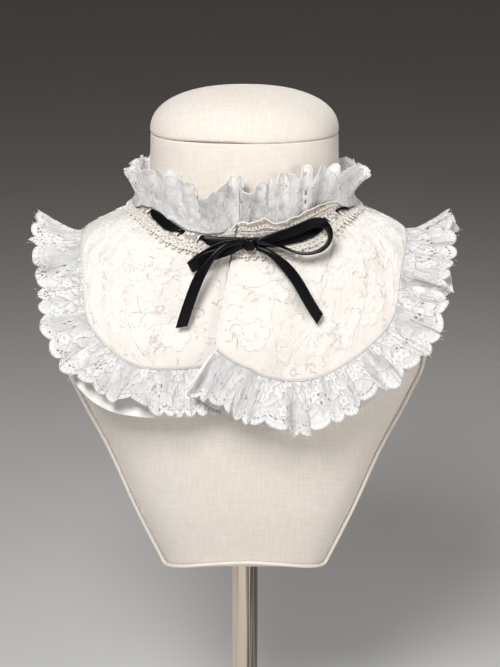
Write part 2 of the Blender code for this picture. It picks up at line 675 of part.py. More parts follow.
def make_ruffles():
    """The lace ruffle and the satin frill under it, each in three lengths joined at the shoulders."""
    for name, spacing in (("lace", SCALLOP / LACE_FULLNESS / 2), ("satin", SATIN_COLUMN_SPACING)):
        edge = Edge(spacing)
        phase = fold_phase(edge.at, edge.length, LACE_WAVE, 3)
        strength = fold_strength(edge.at, edge.length, LACE_WAVE, 5)
        strength = strength * (0.06 + 0.94 * smoothstep(edge.at, *LAPPED_RUFFLE))
        lift, width = np.radians(edge.table[name + "_lift"]), edge.table[name + "_width"]
        if name == "lace":
            root = edge.points + edge.normal * (LACE_ROOT + edge.lap)[:, None] + edge.outward * SEAM_GAP
            grid = ruffle_grid(edge, root, width, lift, LACE_WAVE_HEIGHT, phase, strength, 1)
            cut_scallops(grid)
        else:
            root = edge.points + edge.normal * (SATIN_ROOT + edge.lap)[:, None] - edge.outward * ROOT_TUCK
            tall = LACE_WAVE_HEIGHT * SATIN_WAVE_SHARE
            grid = ruffle_grid(edge, root, width + ROOT_TUCK, lift, tall, phase, strength, SATIN_WAVE_SHARE)
        faces = faces_of(grid, RUFFLE_THICKNESS)
        splits = [int(np.argmin(np.abs(edge.at - tip))) for tip in edge.tips]
        parts = {"right": (0, splits[0]), "back": tuple(splits), "left": (splits[1], len(edge.at) - 1)}
        for side, (first, last) in parts.items():
            inner, outer = (cut_free(face, first, last) for face in faces)
            wall(f"ruffle_{name}_{side}", inner, outer, "ruffle_lace" if name == "lace" else "satin")


def make_neck_frill():
    """The scalloped lace frill that stands up round the neck, open at the throat."""
    low, high = neck_ends(0.0010)
    angle, at = row_of_angles(low, high, SCALLOP / NECK_FULLNESS / 2, NECK_ROOT)
    length = at[-1]
    seam = bust_points(angle, neck_height(angle))
    forward = unit(np.gradient(seam, axis=0))
    phase = fold_phase(at, length, NECK_WAVE, 7)
    strength = fold_strength(at, length, NECK_WAVE, 11) * (0.5 + 0.5 * smoothstep(np.minimum(at, length - at), 0, 0.02))
    s = np.sin(angle)
    front, back = np.clip(s, 0, 1) ** 2, np.clip(-s, 0, 1) ** 2
    lift = np.radians(NECK_LIFT_FRONT * front + NECK_LIFT_BACK * back + NECK_LIFT_SIDE * (1 - front - back))
    rows = height_from_neckline(angle, [-2 * FACE_GAP, -NECK_FLAT])
    grid = [off_bust(angle, rows[:, k], np.full(len(at), NECK_ROOT)) for k in (0, 1)]
    out, up = unit(bust_normals(seam) * (1, 1, 0)), np.array([0.0, 0.0, 1.0])
    rise = up * np.cos(lift)[:, None] + out * np.sin(lift)[:, None]
    across = out * np.cos(lift)[:, None] - up * np.sin(lift)[:, None]
    for share in (0.5, 1.0):
        off, along = wave_of(phase, strength, NECK_WAVE_HEIGHT, share, NECK_BULGE, 0)
        place = grid[1] + rise * (NECK_WIDTH - NECK_FLAT) * share
        grid.append(place + across * off[:, None] + forward * along[:, None] * 0.8)
    grid = np.stack(grid, axis=1)
    cut_scallops(grid)
    wall("neck_frill", *faces_of(grid, RUFFLE_THICKNESS), "ruffle_lace")


# ---------------------------------------------------------------------------- beading lace and ribbon
def neck_ends(gap):
    """The angles at which what goes round the neckline starts and ends, that far apart at the throat."""
    middle = float(angle_at((RIGHT_FRONT_CENTRE + LEFT_FRONT_CENTRE) / 2, NECK_HEIGHT_FRONT))
    half = gap / 2 / bust_size("half_width", NECK_HEIGHT_FRONT)
    return middle + half, middle + 2 * math.pi - half


def slots_along(length):
    """The middles of the slots, as lengths along the neckline from the knot, over the wearer's right shoulder."""
    found = []
    for side, slots in SLOTS_FROM_KNOT.items():
        for turn in range(int((length / 2 - slots[0]) / SLOT_REPEAT) + 1):
            places = [slot + turn * SLOT_REPEAT for slot in slots]
            if places[-1] < length / 2:
                found += places if side == "right" else [length - place for place in places]
    return np.array(sorted(found))


def make_beading_and_ribbon():
    """The narrow beading lace over the neck seam, and the ribbon that goes in and out of its slots."""
    knot_angle = float(angle_at(KNOT_CENTRE[0], NECK_HEIGHT_FRONT))
    start, end = neck_ends(BEADING_CENTRE_GAP)
    angles = np.linspace(knot_angle, end, 1001)
    along = lengths_along(off_bust(angles, neck_height(angles), np.full(len(angles), BEADING_OFFSET)))
    round_neck = np.interp(knot_angle + 2 * math.pi, angles, along)
    slots = slots_along(round_neck)

    stops = [np.interp(start, angles, along)]
    for slot in slots:
        stops += [slot - SLOT_WIDTH / 2, slot + SLOT_WIDTH / 2]
    stops.append(along[-1])
    at = [np.array(stops[:1])]
    for first, second in zip(stops, stops[1:]):
        at.append(np.linspace(first, second, max(1, round((second - first) / BEADING_SPACING)) + 1)[1:])
    at = np.concatenate(at)
    angle = np.interp(at, along, angles)
    reach = np.array([-BEADING_HALF_HEIGHT, -SLOT_HALF_HEIGHT, SLOT_HALF_HEIGHT, BEADING_HALF_HEIGHT])
    rows = height_from_neckline(angle, reach)
    rows[:, [0, -1]] += (BEADING_EDGE_WAVE * np.where(np.arange(len(at)) % 2, 1, -1))[:, None]
    faces = [
        off_bust(angle[:, None] + 0 * rows, rows, np.full(rows.shape, BEADING_OFFSET + side * BEADING_THICKNESS / 2))
        for side in (-1, 1)
    ]
    middles = (at[:-1] + at[1:]) / 2
    wall("beading_lace", *faces, "beading", [(int(np.argmin(np.abs(middles - slot))), 1) for slot in slots])

    ends = (RIBBON_CENTRE_GAP / 2, round_neck - RIBBON_CENTRE_GAP / 2)
    bends = [slot + side * SLOT_WIDTH / 2 for slot in slots for side in (-1, 1)]
    even = np.linspace(*ends, round((ends[1] - ends[0]) / RIBBON_SPACING) + 1)
    clear = np.min(np.abs(even[:, None] - np.array(bends)[None, :]), axis=1) > 0.3 * RIBBON_SPACING
    clear[[0, -1]] = True
    places = np.sort(np.concatenate([even[clear], bends]))
    inside = np.zeros(len(places))
    for first, second in zip(slots[::2], slots[1::2]):
        half = SLOT_WIDTH / 2
        inside += smoothstep(places, first - half, first + half) - smoothstep(places, second - half, second + half)
    offset = RIBBON_OUTSIDE + (RIBBON_INSIDE - RIBBON_OUTSIDE) * inside
    angle = np.interp(places, along, angles)
    rows = height_from_neckline(angle, [-RIBBON_WIDTH / 2, RIBBON_WIDTH / 2])
    faces = [
        off_bust(angle[:, None] + 0 * rows, rows, offset[:, None] + side * RIBBON_THICKNESS / 2 + 0 * rows)
        for side in (-1, 1)
    ]
    wall("neck_ribbon", *faces, "black_satin")


# ---------------------------------------------------------------------------- the bow
def make_knot():
    mesh = bpy.data.meshes.new("bow_knot")
    shape = bmesh.new()
    bmesh.ops.create_cube(shape, size=1)
    bmesh.ops.scale(shape, vec=KNOT_SIZE, verts=shape.verts)
    bmesh.ops.bevel(shape, geom=shape.edges[:], offset=KNOT_ROUND, segments=2, affect="EDGES", profile=0.5)
    bmesh.ops.translate(shape, vec=KNOT_CENTRE, verts=shape.verts)
    shape.to_mesh(mesh)
    shape.free()
    mesh.materials.append(material("black_satin"))
    bpy.context.scene.collection.objects.link(bpy.data.objects.new("bow_knot", mesh))


def make_bow_strip(name, route, held_across, end_cut, count):
    """A length of ribbon along a route. Its turn is measured from lying flat to the front, unless its width is held
    to one direction."""
    table = columns(STRIP_COLUMNS, route)
    points = np.array([row[:3] for row in route])
    middle = curve_through(points, count)
    known, at = lengths_along(points), np.linspace(0, 1, count)
    turn = np.radians(smooth(at, known / known[-1], table["turn"]))
    half = RIBBON_WIDTH / 2 * smooth(at, known / known[-1], table["width"])
    forward = unit(np.gradient(middle, axis=0))
    if held_across:
        across = np.tile(held_across, (count, 1))
        across = unit(across - forward * (across * forward).sum(1)[:, None])
    else:
        front = np.tile((0.0, -1.0, 0.0), (count, 1))
        front = unit(front - forward * (front * forward).sum(1)[:, None])
        flat = np.cross(forward, front)
        across = flat * np.cos(turn)[:, None] + front * np.sin(turn)[:, None]
    grid = np.stack([middle - across * half[:, None], middle + across * half[:, None]], axis=1)
    grid[-1, 0] += forward[-1] * end_cut / 2
    grid[-1, 1] -= forward[-1] * end_cut / 2
    wall(name, *faces_of(grid, RIBBON_THICKNESS), "black_satin")


def make_bow():
    """The knot, two loops and two free ends."""
    make_knot()
    make_bow_strip("bow_loop_right", LOOP_RIGHT_ROUTE, (-0.45, 0.0, 0.87), 0, 26)
    make_bow_strip("bow_loop_left", LOOP_LEFT_ROUTE, None, 0, 30)
    make_bow_strip("bow_tail_right", TAIL_RIGHT_ROUTE, None, -TAIL_CUT, 18)
    make_bow_strip("bow_tail_left", TAIL_LEFT_ROUTE, None, -TAIL_CUT, 18)


def main():
    for old in list(bpy.data.objects):
        bpy.data.objects.remove(old)
    make_stand()
    make_bust()
    make_piping()
    make_yoke()
    make_ruffles()
    make_neck_frill()
    make_beading_and_ribbon()
    make_bow()


main()
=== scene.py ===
# %% [markdown]
# # A ruffled lace collar on a linen display bust
#
# The object is a detachable costume collar. It has a shaped yoke of corded lace over white satin, a gathered
# ruffle of scalloped lace over a satin frill round the yoke's edge, and a lace frill standing up round the neck.
# An ivory beading lace covers the neck seam, with a black satin ribbon threaded through it and tied in a bow. The
# collar is shown on a linen bust on a chrome pole.
#
# The solids of the part are the fixed frame. This script dresses them: every piece here stands for its solid or
# is sewn to one that does. All lengths are in metres, +Z is up, and the wearer faces -Y.

# %% Load the frame
import math
from contextlib import contextmanager

import bmesh
import bpy
import numpy as np
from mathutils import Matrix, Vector


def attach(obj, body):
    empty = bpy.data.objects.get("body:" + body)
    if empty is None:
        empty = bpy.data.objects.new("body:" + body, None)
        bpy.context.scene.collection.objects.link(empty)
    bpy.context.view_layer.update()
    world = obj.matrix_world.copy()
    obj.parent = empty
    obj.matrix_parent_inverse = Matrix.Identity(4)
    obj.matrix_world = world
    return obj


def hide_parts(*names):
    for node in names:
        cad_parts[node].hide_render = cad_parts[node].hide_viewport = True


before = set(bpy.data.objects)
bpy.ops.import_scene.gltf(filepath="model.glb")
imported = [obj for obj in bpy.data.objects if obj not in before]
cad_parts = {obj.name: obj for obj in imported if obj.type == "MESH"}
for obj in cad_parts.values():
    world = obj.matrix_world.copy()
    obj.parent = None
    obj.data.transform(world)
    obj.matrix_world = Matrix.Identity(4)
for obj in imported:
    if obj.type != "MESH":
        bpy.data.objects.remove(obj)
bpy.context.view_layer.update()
BODY = "root"
MM = 0.001
print("solids:", sorted(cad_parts))


def link(name, data):
    """A new object in the scene, for a mesh, a curve, a lamp or a lens."""
    made = bpy.data.objects.new(name, data)
    bpy.context.scene.collection.objects.link(made)
    return made


# %% [markdown]
# ## Camera
#
# A long lens from some way off keeps the proportions of the neck and the hem. The camera looks down a little, from
# straight in front. It is placed from what it looks at, how far away it stands and how far it looks down, which
# are easier to judge than a position and three angles.

# %% Place the camera
CAMERA_TARGET = (0.004, 0.0, 0.368)
CAMERA_DISTANCE = 1.3
CAMERA_LOOKS_DOWN = math.radians(16)
SENSOR_HEIGHT_MM = 36
LENS_MM = 93.54


def place_camera():
    lens = bpy.data.cameras.new("camera")
    lens.sensor_fit = "VERTICAL"
    lens.sensor_height = SENSOR_HEIGHT_MM
    lens.lens = LENS_MM
    camera = link("camera", lens)
    back = (0, -math.cos(CAMERA_LOOKS_DOWN), math.sin(CAMERA_LOOKS_DOWN))
    camera.location = [t + CAMERA_DISTANCE * b for t, b in zip(CAMERA_TARGET, back)]
    camera.rotation_euler = (math.pi / 2 - CAMERA_LOOKS_DOWN, 0, 0)
    bpy.context.scene.camera = camera


place_camera()

# %% [markdown]
# ## Curves through tables
#
# The shapes below come from short tables: a few rows of sizes, and a curve that passes through them without
# overshooting. These helpers work on whole arrays at once, which keeps thousands of lace points quick.


# %% Curve helpers
def columns(names, rows):
    """A table's rows as one tuple for each named column."""
    return dict(zip(names, zip(*rows)))


def smooth(at, known, values):
    """A curve through a table's values that doesn't overshoot them."""
    known, values, at = np.asarray(known, float), np.asarray(values, float), np.asarray(at, float)
    steps = np.diff(values) / np.diff(known)
    slopes = np.concatenate([steps[:1], np.zeros(len(steps) - 1), steps[-1:]])
    both = steps[:-1] * steps[1:] > 0
    slopes[1:-1][both] = 2 * steps[:-1][both] * steps[1:][both] / (steps[:-1] + steps[1:])[both]
    i = np.clip(np.searchsorted(known, at, side="right") - 1, 0, len(known) - 2)
    span = known[i + 1] - known[i]
    t = np.clip((at - known[i]) / span, 0, 1)
    ease = t * t * (3 - 2 * t)
    start, end = t * (1 - t) ** 2 * span, -t * t * (1 - t) * span
    return values[i] * (1 - ease) + values[i + 1] * ease + start * slopes[i] + end * slopes[i + 1]


def smoothstep(x, low, high):
    t = np.clip((np.asarray(x, float) - low) / (high - low), 0, 1)
    return t * t * (3 - 2 * t)


def unit(vectors):
    return vectors / np.maximum(np.linalg.norm(vectors, axis=-1, keepdims=True), 1e-12)


def lengths_along(points):
    """How far along its line each point lies, for lines on the last axis but one."""
    steps = np.linalg.norm(np.diff(points, axis=-2), axis=-1)
    return np.concatenate([np.zeros(steps.shape[:-1] + (1,)), np.cumsum(steps, axis=-1)], axis=-1)


def natural_spline(known, values, count):
    """A natural cubic spline through the values, read at count even steps."""
    n, h = len(known), np.diff(known)
    matrix, right = np.eye(n), np.zeros(n)
    for i in range(1, n - 1):
        matrix[i, i - 1 : i + 2] = h[i - 1], 2 * (h[i - 1] + h[i]), h[i]
        right[i] = 6 * ((values[i + 1] - values[i]) / h[i] - (values[i] - values[i - 1]) / h[i - 1])
    bend = np.linalg.solve(matrix, right)
    at = np.linspace(known[0], known[-1], count)
    i = np.clip(np.searchsorted(known, at) - 1, 0, n - 2)
    a, b = known[i + 1] - at, at - known[i]
    return (
        (bend[i] * a**3 + bend[i + 1] * b**3) / (6 * h[i])
        + (values[i] / h[i] - bend[i] * h[i] / 6) * a
        + (values[i + 1] / h[i] - bend[i + 1] * h[i] / 6) * b
    )


def curve_through(route, count):
    """count points, evenly spaced, on a smooth curve through the route's points."""
    route = np.asarray(route, float)
    known = lengths_along(route)
    fine = np.stack([natural_spline(known, route[:, k], 40 * len(route)) for k in range(3)], axis=1)
    along = lengths_along(fine)
    wanted = np.linspace(0, along[-1], count)
    return np.stack([np.interp(wanted, along, fine[:, k]) for k in range(3)], axis=1)


# %% [markdown]
# ## The bust's surface
#
# Everything in this object lies on the bust, so the bust's surface is the ruler for the rest. A point on it is an
# angle round it and a height. Its level sections are squared-off ovals (superellipses), deeper in front than
# behind. The direction away from it comes from how the oval's formula grows. A piece of cloth can then be placed
# as an angle, a height and a distance out.

# %% The bust's surface
BUST_COLUMNS = ("height", "half_width", "front", "back", "squareness")
BUST_ROWS = (
    (0.190, 0.0620, 0.0440, 0.0310, 2.80),
    (0.240, 0.0850, 0.0560, 0.0370, 2.75),
    (0.290, 0.1055, 0.0670, 0.0440, 2.70),
    (0.335, 0.1275, 0.0760, 0.0490, 2.70),
    (0.358, 0.1365, 0.0790, 0.0520, 2.70),
    (0.380, 0.1375, 0.0795, 0.0530, 2.70),
    (0.402, 0.1330, 0.0770, 0.0530, 2.70),
    (0.422, 0.1265, 0.0735, 0.0530, 2.65),
    (0.436, 0.1195, 0.0705, 0.0530, 2.60),
    (0.445, 0.1120, 0.0680, 0.0530, 2.50),
    (0.451, 0.1040, 0.0665, 0.0530, 2.45),
    (0.456, 0.0960, 0.0655, 0.0530, 2.40),
    (0.460, 0.0880, 0.0645, 0.0535, 2.35),
    (0.464, 0.0800, 0.0635, 0.0540, 2.30),
    (0.469, 0.0735, 0.0620, 0.0540, 2.30),
    (0.477, 0.0700, 0.0600, 0.0535, 2.30),
    (0.490, 0.0690, 0.0590, 0.0530, 2.30),
    (0.521, 0.0680, 0.0580, 0.0520, 2.30),
)
BUST = columns(BUST_COLUMNS, BUST_ROWS)
BUST_BOTTOM, BUST_TOP = BUST["height"][0], BUST["height"][-1]
BUST_ARCH = 0.0105


def bust_size(name, height):
    return smooth(height, BUST["height"], BUST[name])


def bust_points(angle, height):
    """Points on the bust, at an angle and a height. Angle 0 is the wearer's left, and a quarter turn the front."""
    power = 2 / bust_size("squareness", height)
    c, s = np.cos(angle), np.sin(angle)
    reach = np.where(s >= 0, bust_size("front", height), bust_size("back", height))
    x = bust_size("half_width", height) * np.sign(c) * np.abs(c) ** power
    y = -reach * np.sign(s) * np.abs(s) ** power
    return np.stack([x, y, height + 0 * x], axis=-1)


def bust_normals(points):
    """The outward direction of the bust's surface at points on it."""
    x, y, height = points[..., 0], points[..., 1], points[..., 2]
    width, n = bust_size("half_width", height), bust_size("squareness", height)
    reach = np.where(y <= 0, bust_size("front", height), bust_size("back", height))
    step = 0.5 * MM

    def growth(name):
        return (bust_size(name, height + step) - bust_size(name, height - step)) / (2 * step)

    across, along = np.abs(x) / width, np.abs(y) / reach
    grow_reach = np.where(y <= 0, growth("front"), growth("back"))
    gradient = (
        np.sign(x) * across ** (n - 1) / width,
        np.sign(y) * along ** (n - 1) / reach,
        -(across**n) * growth("half_width") / width - along**n * grow_reach / reach,
    )
    return unit(np.stack(gradient, axis=-1))


def off_bust(angle, height, distance):
    """Points at a distance out from the bust's surface."""
    points = bust_points(angle, height)
    return points + bust_normals(points) * np.asarray(distance, float)[..., None]


def angle_at(x, height):
    """The angle, from the side, at which the bust's surface is x across at that height."""
    share = np.clip(np.abs(x) / bust_size("half_width", height), 0, 1)
    return float(np.arccos(np.sign(x) * share ** (bust_size("squareness", height) / 2)))


NECK_HEIGHT_FRONT = 0.453
NECK_RISE_TO_SIDE = 0.015
NECK_RISE_TO_BACK = 0.002
NECK_SIDE_POWER = 4
SEARCH_DOWN_TO = 0.40


def neck_height(angle):
    """The height of the neckline seam."""
    s = np.sin(angle)
    front = NECK_HEIGHT_FRONT + NECK_RISE_TO_SIDE * (1 - np.abs(s) ** NECK_SIDE_POWER)
    back = NECK_HEIGHT_FRONT + NECK_RISE_TO_SIDE + NECK_RISE_TO_BACK * s * s
    return np.where(s >= 0, front, back)


def height_from_neckline(angle, distance):
    """The heights that lie these distances down the bust's surface from the neckline, a row for each angle."""
    heights = np.linspace(BUST_TOP, SEARCH_DOWN_TO, 160)
    angle = np.atleast_1d(angle)
    profiles = bust_points(angle[:, None], np.broadcast_to(heights, (len(angle), len(heights))))
    found = []
    for start, line in zip(neck_height(angle), lengths_along(profiles)):
        found.append(np.interp(np.interp(-start, -heights, line) + np.asarray(distance), line, heights))
    return np.array(found)


# %% [markdown]
# ## Meshes from grids
#
# Cloth is easiest to think of as a grid: so many columns along the strip, so many rows across it. Each point knows
# its place in space and its place on the flat cloth. The second one is kept as the UV map, in millimetres, so that
# threads and motifs keep their real size on folds. A Solidify modifier then gives the cloth its thickness and
# closes the rim, and it is applied so that the finished mesh is plain.


# %% Mesh helpers
def applied(thing):
    """The object with its modifiers made part of a plain mesh."""
    graph = bpy.context.evaluated_depsgraph_get()
    graph.update()
    mesh = bpy.data.meshes.new_from_object(thing.evaluated_get(graph), depsgraph=graph)
    name = thing.name
    bpy.data.objects.remove(thing)
    mesh.name = name
    return link(name, mesh)


def thickened(sheet, thickness):
    """The sheet with its points as the middle of a wall."""
    wall = sheet.modifiers.new("thickness", "SOLIDIFY")
    wall.thickness, wall.offset = thickness, 0
    return applied(sheet)


@contextmanager
def editing(mesh):
    """The mesh open for editing. It is written back at the end."""
    shape = bmesh.new()
    shape.from_mesh(mesh)
    yield shape
    shape.to_mesh(mesh)
    shape.free()


def drop_loose_points(mesh):
    with editing(mesh) as shape:
        for point in [v for v in shape.verts if not v.link_faces]:
            shape.verts.remove(point)


def merge_seams(mesh, distance=1e-6):
    """Welds points that lie on each other, and turns every face outwards."""
    with editing(mesh) as shape:
        bmesh.ops.remove_doubles(shape, verts=shape.verts, dist=distance)
        bmesh.ops.recalc_face_normals(shape, faces=shape.faces)


def grid_faces(across, down, missing):
    """Quads between neighbouring points of a grid. Missing cells are holes."""
    i, j = np.meshgrid(np.arange(across - 1), np.arange(down - 1), indexing="ij")
    keep = np.ones(i.shape, bool)
    for a, b in missing:
        keep[a, b] = False
    first = i[keep] * down + j[keep]
    return np.stack([first, first + 1, first + down + 1, first + down], axis=1)


def cloth(name, points, flat, thickness, material, missing=()):
    """A sheet through a grid of points. flat gives each point's place on the uncut cloth, in metres."""
    across, down = points.shape[:2]
    faces = grid_faces(across, down, missing)
    mesh = bpy.data.meshes.new(name)
    mesh.from_pydata(points.reshape(-1, 3).tolist(), [], faces.tolist())
    uv = mesh.uv_layers.new(name="cloth_mm")
    place = (np.asarray(flat).reshape(-1, 2) / MM)[faces.reshape(-1)]
    uv.data.foreach_set("uv", place.astype(np.float32).reshape(-1))
    mesh.materials.append(material)
    mesh.shade_smooth()
    if len(np.unique(faces)) < across * down:
        drop_loose_points(mesh)
    sheet = link(name, mesh)
    return thickened(sheet, thickness) if thickness else sheet


def grid_of(columns_of, rows):
    """Two values for every point of a grid: one for its column and one for its row."""
    columns_of, rows = np.broadcast_arrays(np.asarray(columns_of)[:, None], rows)
    return np.stack([columns_of, rows], axis=-1)


def finish_piece(piece, node):
    """Hands a piece to the frame: it rides the body, and stands for a solid where node names one."""
    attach(piece, BODY)
    if node:
        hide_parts(node)
    return piece


def read_grid(values, i, j):
    """A grid's values at places between its points."""
    i0 = np.clip(i.astype(int), 0, values.shape[0] - 2)
    j0 = np.clip(j.astype(int), 0, values.shape[1] - 2)
    a, b = i - i0, j - j0
    if values.ndim > 2:
        a, b = a[..., None], b[..., None]
    near = values[i0, j0] * (1 - b) + values[i0, j0 + 1] * b
    far = values[i0 + 1, j0] * (1 - b) + values[i0 + 1, j0 + 1] * b
    return near * (1 - a) + far * a


def place_in(known, at):
    """Where values lie in a rising list, as numbers between its first place and its last."""
    return np.interp(at, known, np.arange(len(known)))


class Surface:
    """A smooth surface through a fine grid of points, read at a length along it and a share across it."""

    def __init__(self, along, across, points):
        self.along, self.across, self.points = along, across, points
        self.normals = unit(np.cross(np.gradient(points, axis=0), np.gradient(points, axis=1)))

    def at(self, along, across, out=0.0):
        """Points on the surface, or a distance out from it."""
        along, across = np.broadcast_arrays(np.asarray(along, float), np.asarray(across, float))
        i, j = place_in(self.along, along), place_in(self.across, across)
        normals = unit(read_grid(self.normals, i, j))
        return read_grid(self.points, i, j) + normals * np.asarray(out, float)[..., None]


# %% [markdown]
# ## Cords
#
# A raised outline, a rolled hem, a picot edge and a row of stitches are all thread. Each is drawn as a line, and
# one Geometry Nodes tree turns any lines into round cord: Curve to Mesh sweeps a circle along them. A second tree
# lays stitches. It cuts the line into even steps and puts a small bead of thread on each, turned along the line.


# %% The cord and stitch trees
def new_tree(name, inputs):
    tree = bpy.data.node_groups.new(name, "GeometryNodeTree")
    tree.interface.new_socket("Geometry", in_out="INPUT", socket_type="NodeSocketGeometry")
    for label, kind in inputs.items():
        tree.interface.new_socket(label, in_out="INPUT", socket_type="NodeSocket" + kind)
    tree.interface.new_socket("Geometry", in_out="OUTPUT", socket_type="NodeSocketGeometry")
    return tree, tree.nodes.new("NodeGroupInput")


def wire(tree, *links):
    """Links nodes. Each link is a node, its output, the next node and its input."""
    for node, output, target, socket in links:
        tree.links.new(node.outputs[output], target.inputs[socket])


def finish_tree(tree, source, last, output):
    """Every tree ends the same way: smooth shading, real meshes instead of instances, and the material."""
    shade = tree.nodes.new("GeometryNodeSetShadeSmooth")
    real = tree.nodes.new("GeometryNodeRealizeInstances")
    paint = tree.nodes.new("GeometryNodeSetMaterial")
    wire(
        tree,
        (last, output, shade, "Geometry"),
        (shade, "Geometry", real, "Geometry"),
        (real, "Geometry", paint, "Geometry"),
        (source, "Material", paint, "Material"),
        (paint, "Geometry", tree.nodes.new("NodeGroupOutput"), "Geometry"),
    )
    return tree


def make_cord_tree():
    tree, source = new_tree("round cord", {"Radius": "Float", "Sides": "Int", "Material": "Material"})
    profile = tree.nodes.new("GeometryNodeCurvePrimitiveCircle")
    sweep = tree.nodes.new("GeometryNodeCurveToMesh")
    sweep.inputs["Fill Caps"].default_value = True
    wire(
        tree,
        (source, "Sides", profile, "Resolution"),
        (source, "Radius", profile, "Radius"),
        (source, "Geometry", sweep, "Curve"),
        (profile, "Curve", sweep, "Profile Curve"),
    )
    return finish_tree(tree, source, sweep, "Mesh")


def make_stitch_tree():
    sizes = {"Step": "Float", "Length": "Float", "Thickness": "Float", "Material": "Material"}
    tree, source = new_tree("row of stitches", sizes)
    cut = tree.nodes.new("GeometryNodeResampleCurve")
    cut.mode = "LENGTH"
    bead = tree.nodes.new("GeometryNodeMeshUVSphere")
    for socket, value in (("Segments", 6), ("Rings", 4), ("Radius", 0.5)):
        bead.inputs[socket].default_value = value
    size = tree.nodes.new("ShaderNodeCombineXYZ")
    place = tree.nodes.new("GeometryNodeInstanceOnPoints")
    tangent = tree.nodes.new("GeometryNodeInputTangent")
    turn = tree.nodes.new("FunctionNodeAlignRotationToVector")
    turn.axis = "Z"
    wire(
        tree,
        (source, "Geometry", cut, "Curve"),
        (source, "Step", cut, "Length"),
        (cut, "Curve", place, "Points"),
        (bead, "Mesh", place, "Instance"),
        (tangent, "Tangent", turn, "Vector"),
        (turn, "Rotation", place, "Rotation"),
        (source, "Thickness", size, "X"),
        (source, "Thickness", size, "Y"),
        (source, "Length", size, "Z"),
        (size, "Vector", place, "Scale"),
    )
    return finish_tree(tree, source, place, "Instances")


CORD_TREE = make_cord_tree()
STITCH_TREE = make_stitch_tree()


def along_lines(name, lines, tree, settings, closed=False):
    """What a tree makes along lines of points, as one finished piece. settings are the tree's inputs by name."""
    curve = bpy.data.curves.new(name, "CURVE")
    curve.dimensions = "3D"
    for line in lines:
        spline = curve.splines.new("POLY")
        spline.points.add(len(line) - 1)
        places = np.column_stack([line, np.ones(len(line))])
        spline.points.foreach_set("co", places.astype(np.float32).reshape(-1))
        spline.use_cyclic_u = closed
    thing = link(name, curve)
    grow = thing.modifiers.new("grow", "NODES")
    grow.node_group = tree
    for socket in tree.interface.items_tree:
        if socket.in_out == "INPUT" and socket.name in settings:
            grow[socket.identifier] = settings[socket.name]
    return finish_piece(applied(thing), None)


def cord(name, lines, radius, material, sides, closed=False):
    settings = {"Radius": radius, "Sides": sides, "Material": material}
    return along_lines(name, lines, CORD_TREE, settings, closed)


def stitches(name, lines, step, length, thickness, material):
    settings = {"Step": step, "Length": length, "Thickness": thickness, "Material": material}
    return along_lines(name, lines, STITCH_TREE, settings)


# %% [markdown]
# ## Materials
#
# Every finish is procedural. A pattern on cloth reads the cloth's own flat place, the UV map in millimetres, so
# that a thread stays a thread on every fold. Shader maths is hard to read as wires, so a small class lets a socket
# be added and multiplied as if it were a number.


# %% Shader helpers
class Signal:
    """A socket in a material's node tree, used like a number."""

    def __init__(self, tree, socket):
        self.tree, self.socket = tree, socket

    def math(self, operation, *others, clamp=False):
        node = self.tree.nodes.new("ShaderNodeMath")
        node.operation = operation
        node.use_clamp = clamp
        for socket, value in zip(node.inputs, (self, *others)):
            plug(self.tree, value, socket)
        return Signal(self.tree, node.outputs[0])

    def __add__(self, other):
        return self.math("ADD", other)

    def __rsub__(self, other):
        return self * -1.0 + other

    def __sub__(self, other):
        return self.math("SUBTRACT", other)

    def __mul__(self, other):
        return self.math("MULTIPLY", other)

    def __truediv__(self, other):
        return self.math("DIVIDE", other)

    def wave(self, period):
        """1 at every whole period and 0 halfway between."""
        return (self * (2 * math.pi / period)).math("COSINE") * 0.5 + 0.5

    def within(self, low, high):
        """0 at low and 1 at high, with a soft start and end."""
        node = self.tree.nodes.new("ShaderNodeMapRange")
        node.interpolation_type = "SMOOTHSTEP"
        plug(self.tree, self, node.inputs["Value"])
        node.inputs["From Min"].default_value = low
        node.inputs["From Max"].default_value = high
        return Signal(self.tree, node.outputs["Result"])


def plug(tree, value, socket):
    if isinstance(value, Signal):
        tree.links.new(value.socket, socket)
    else:
        socket.default_value = value


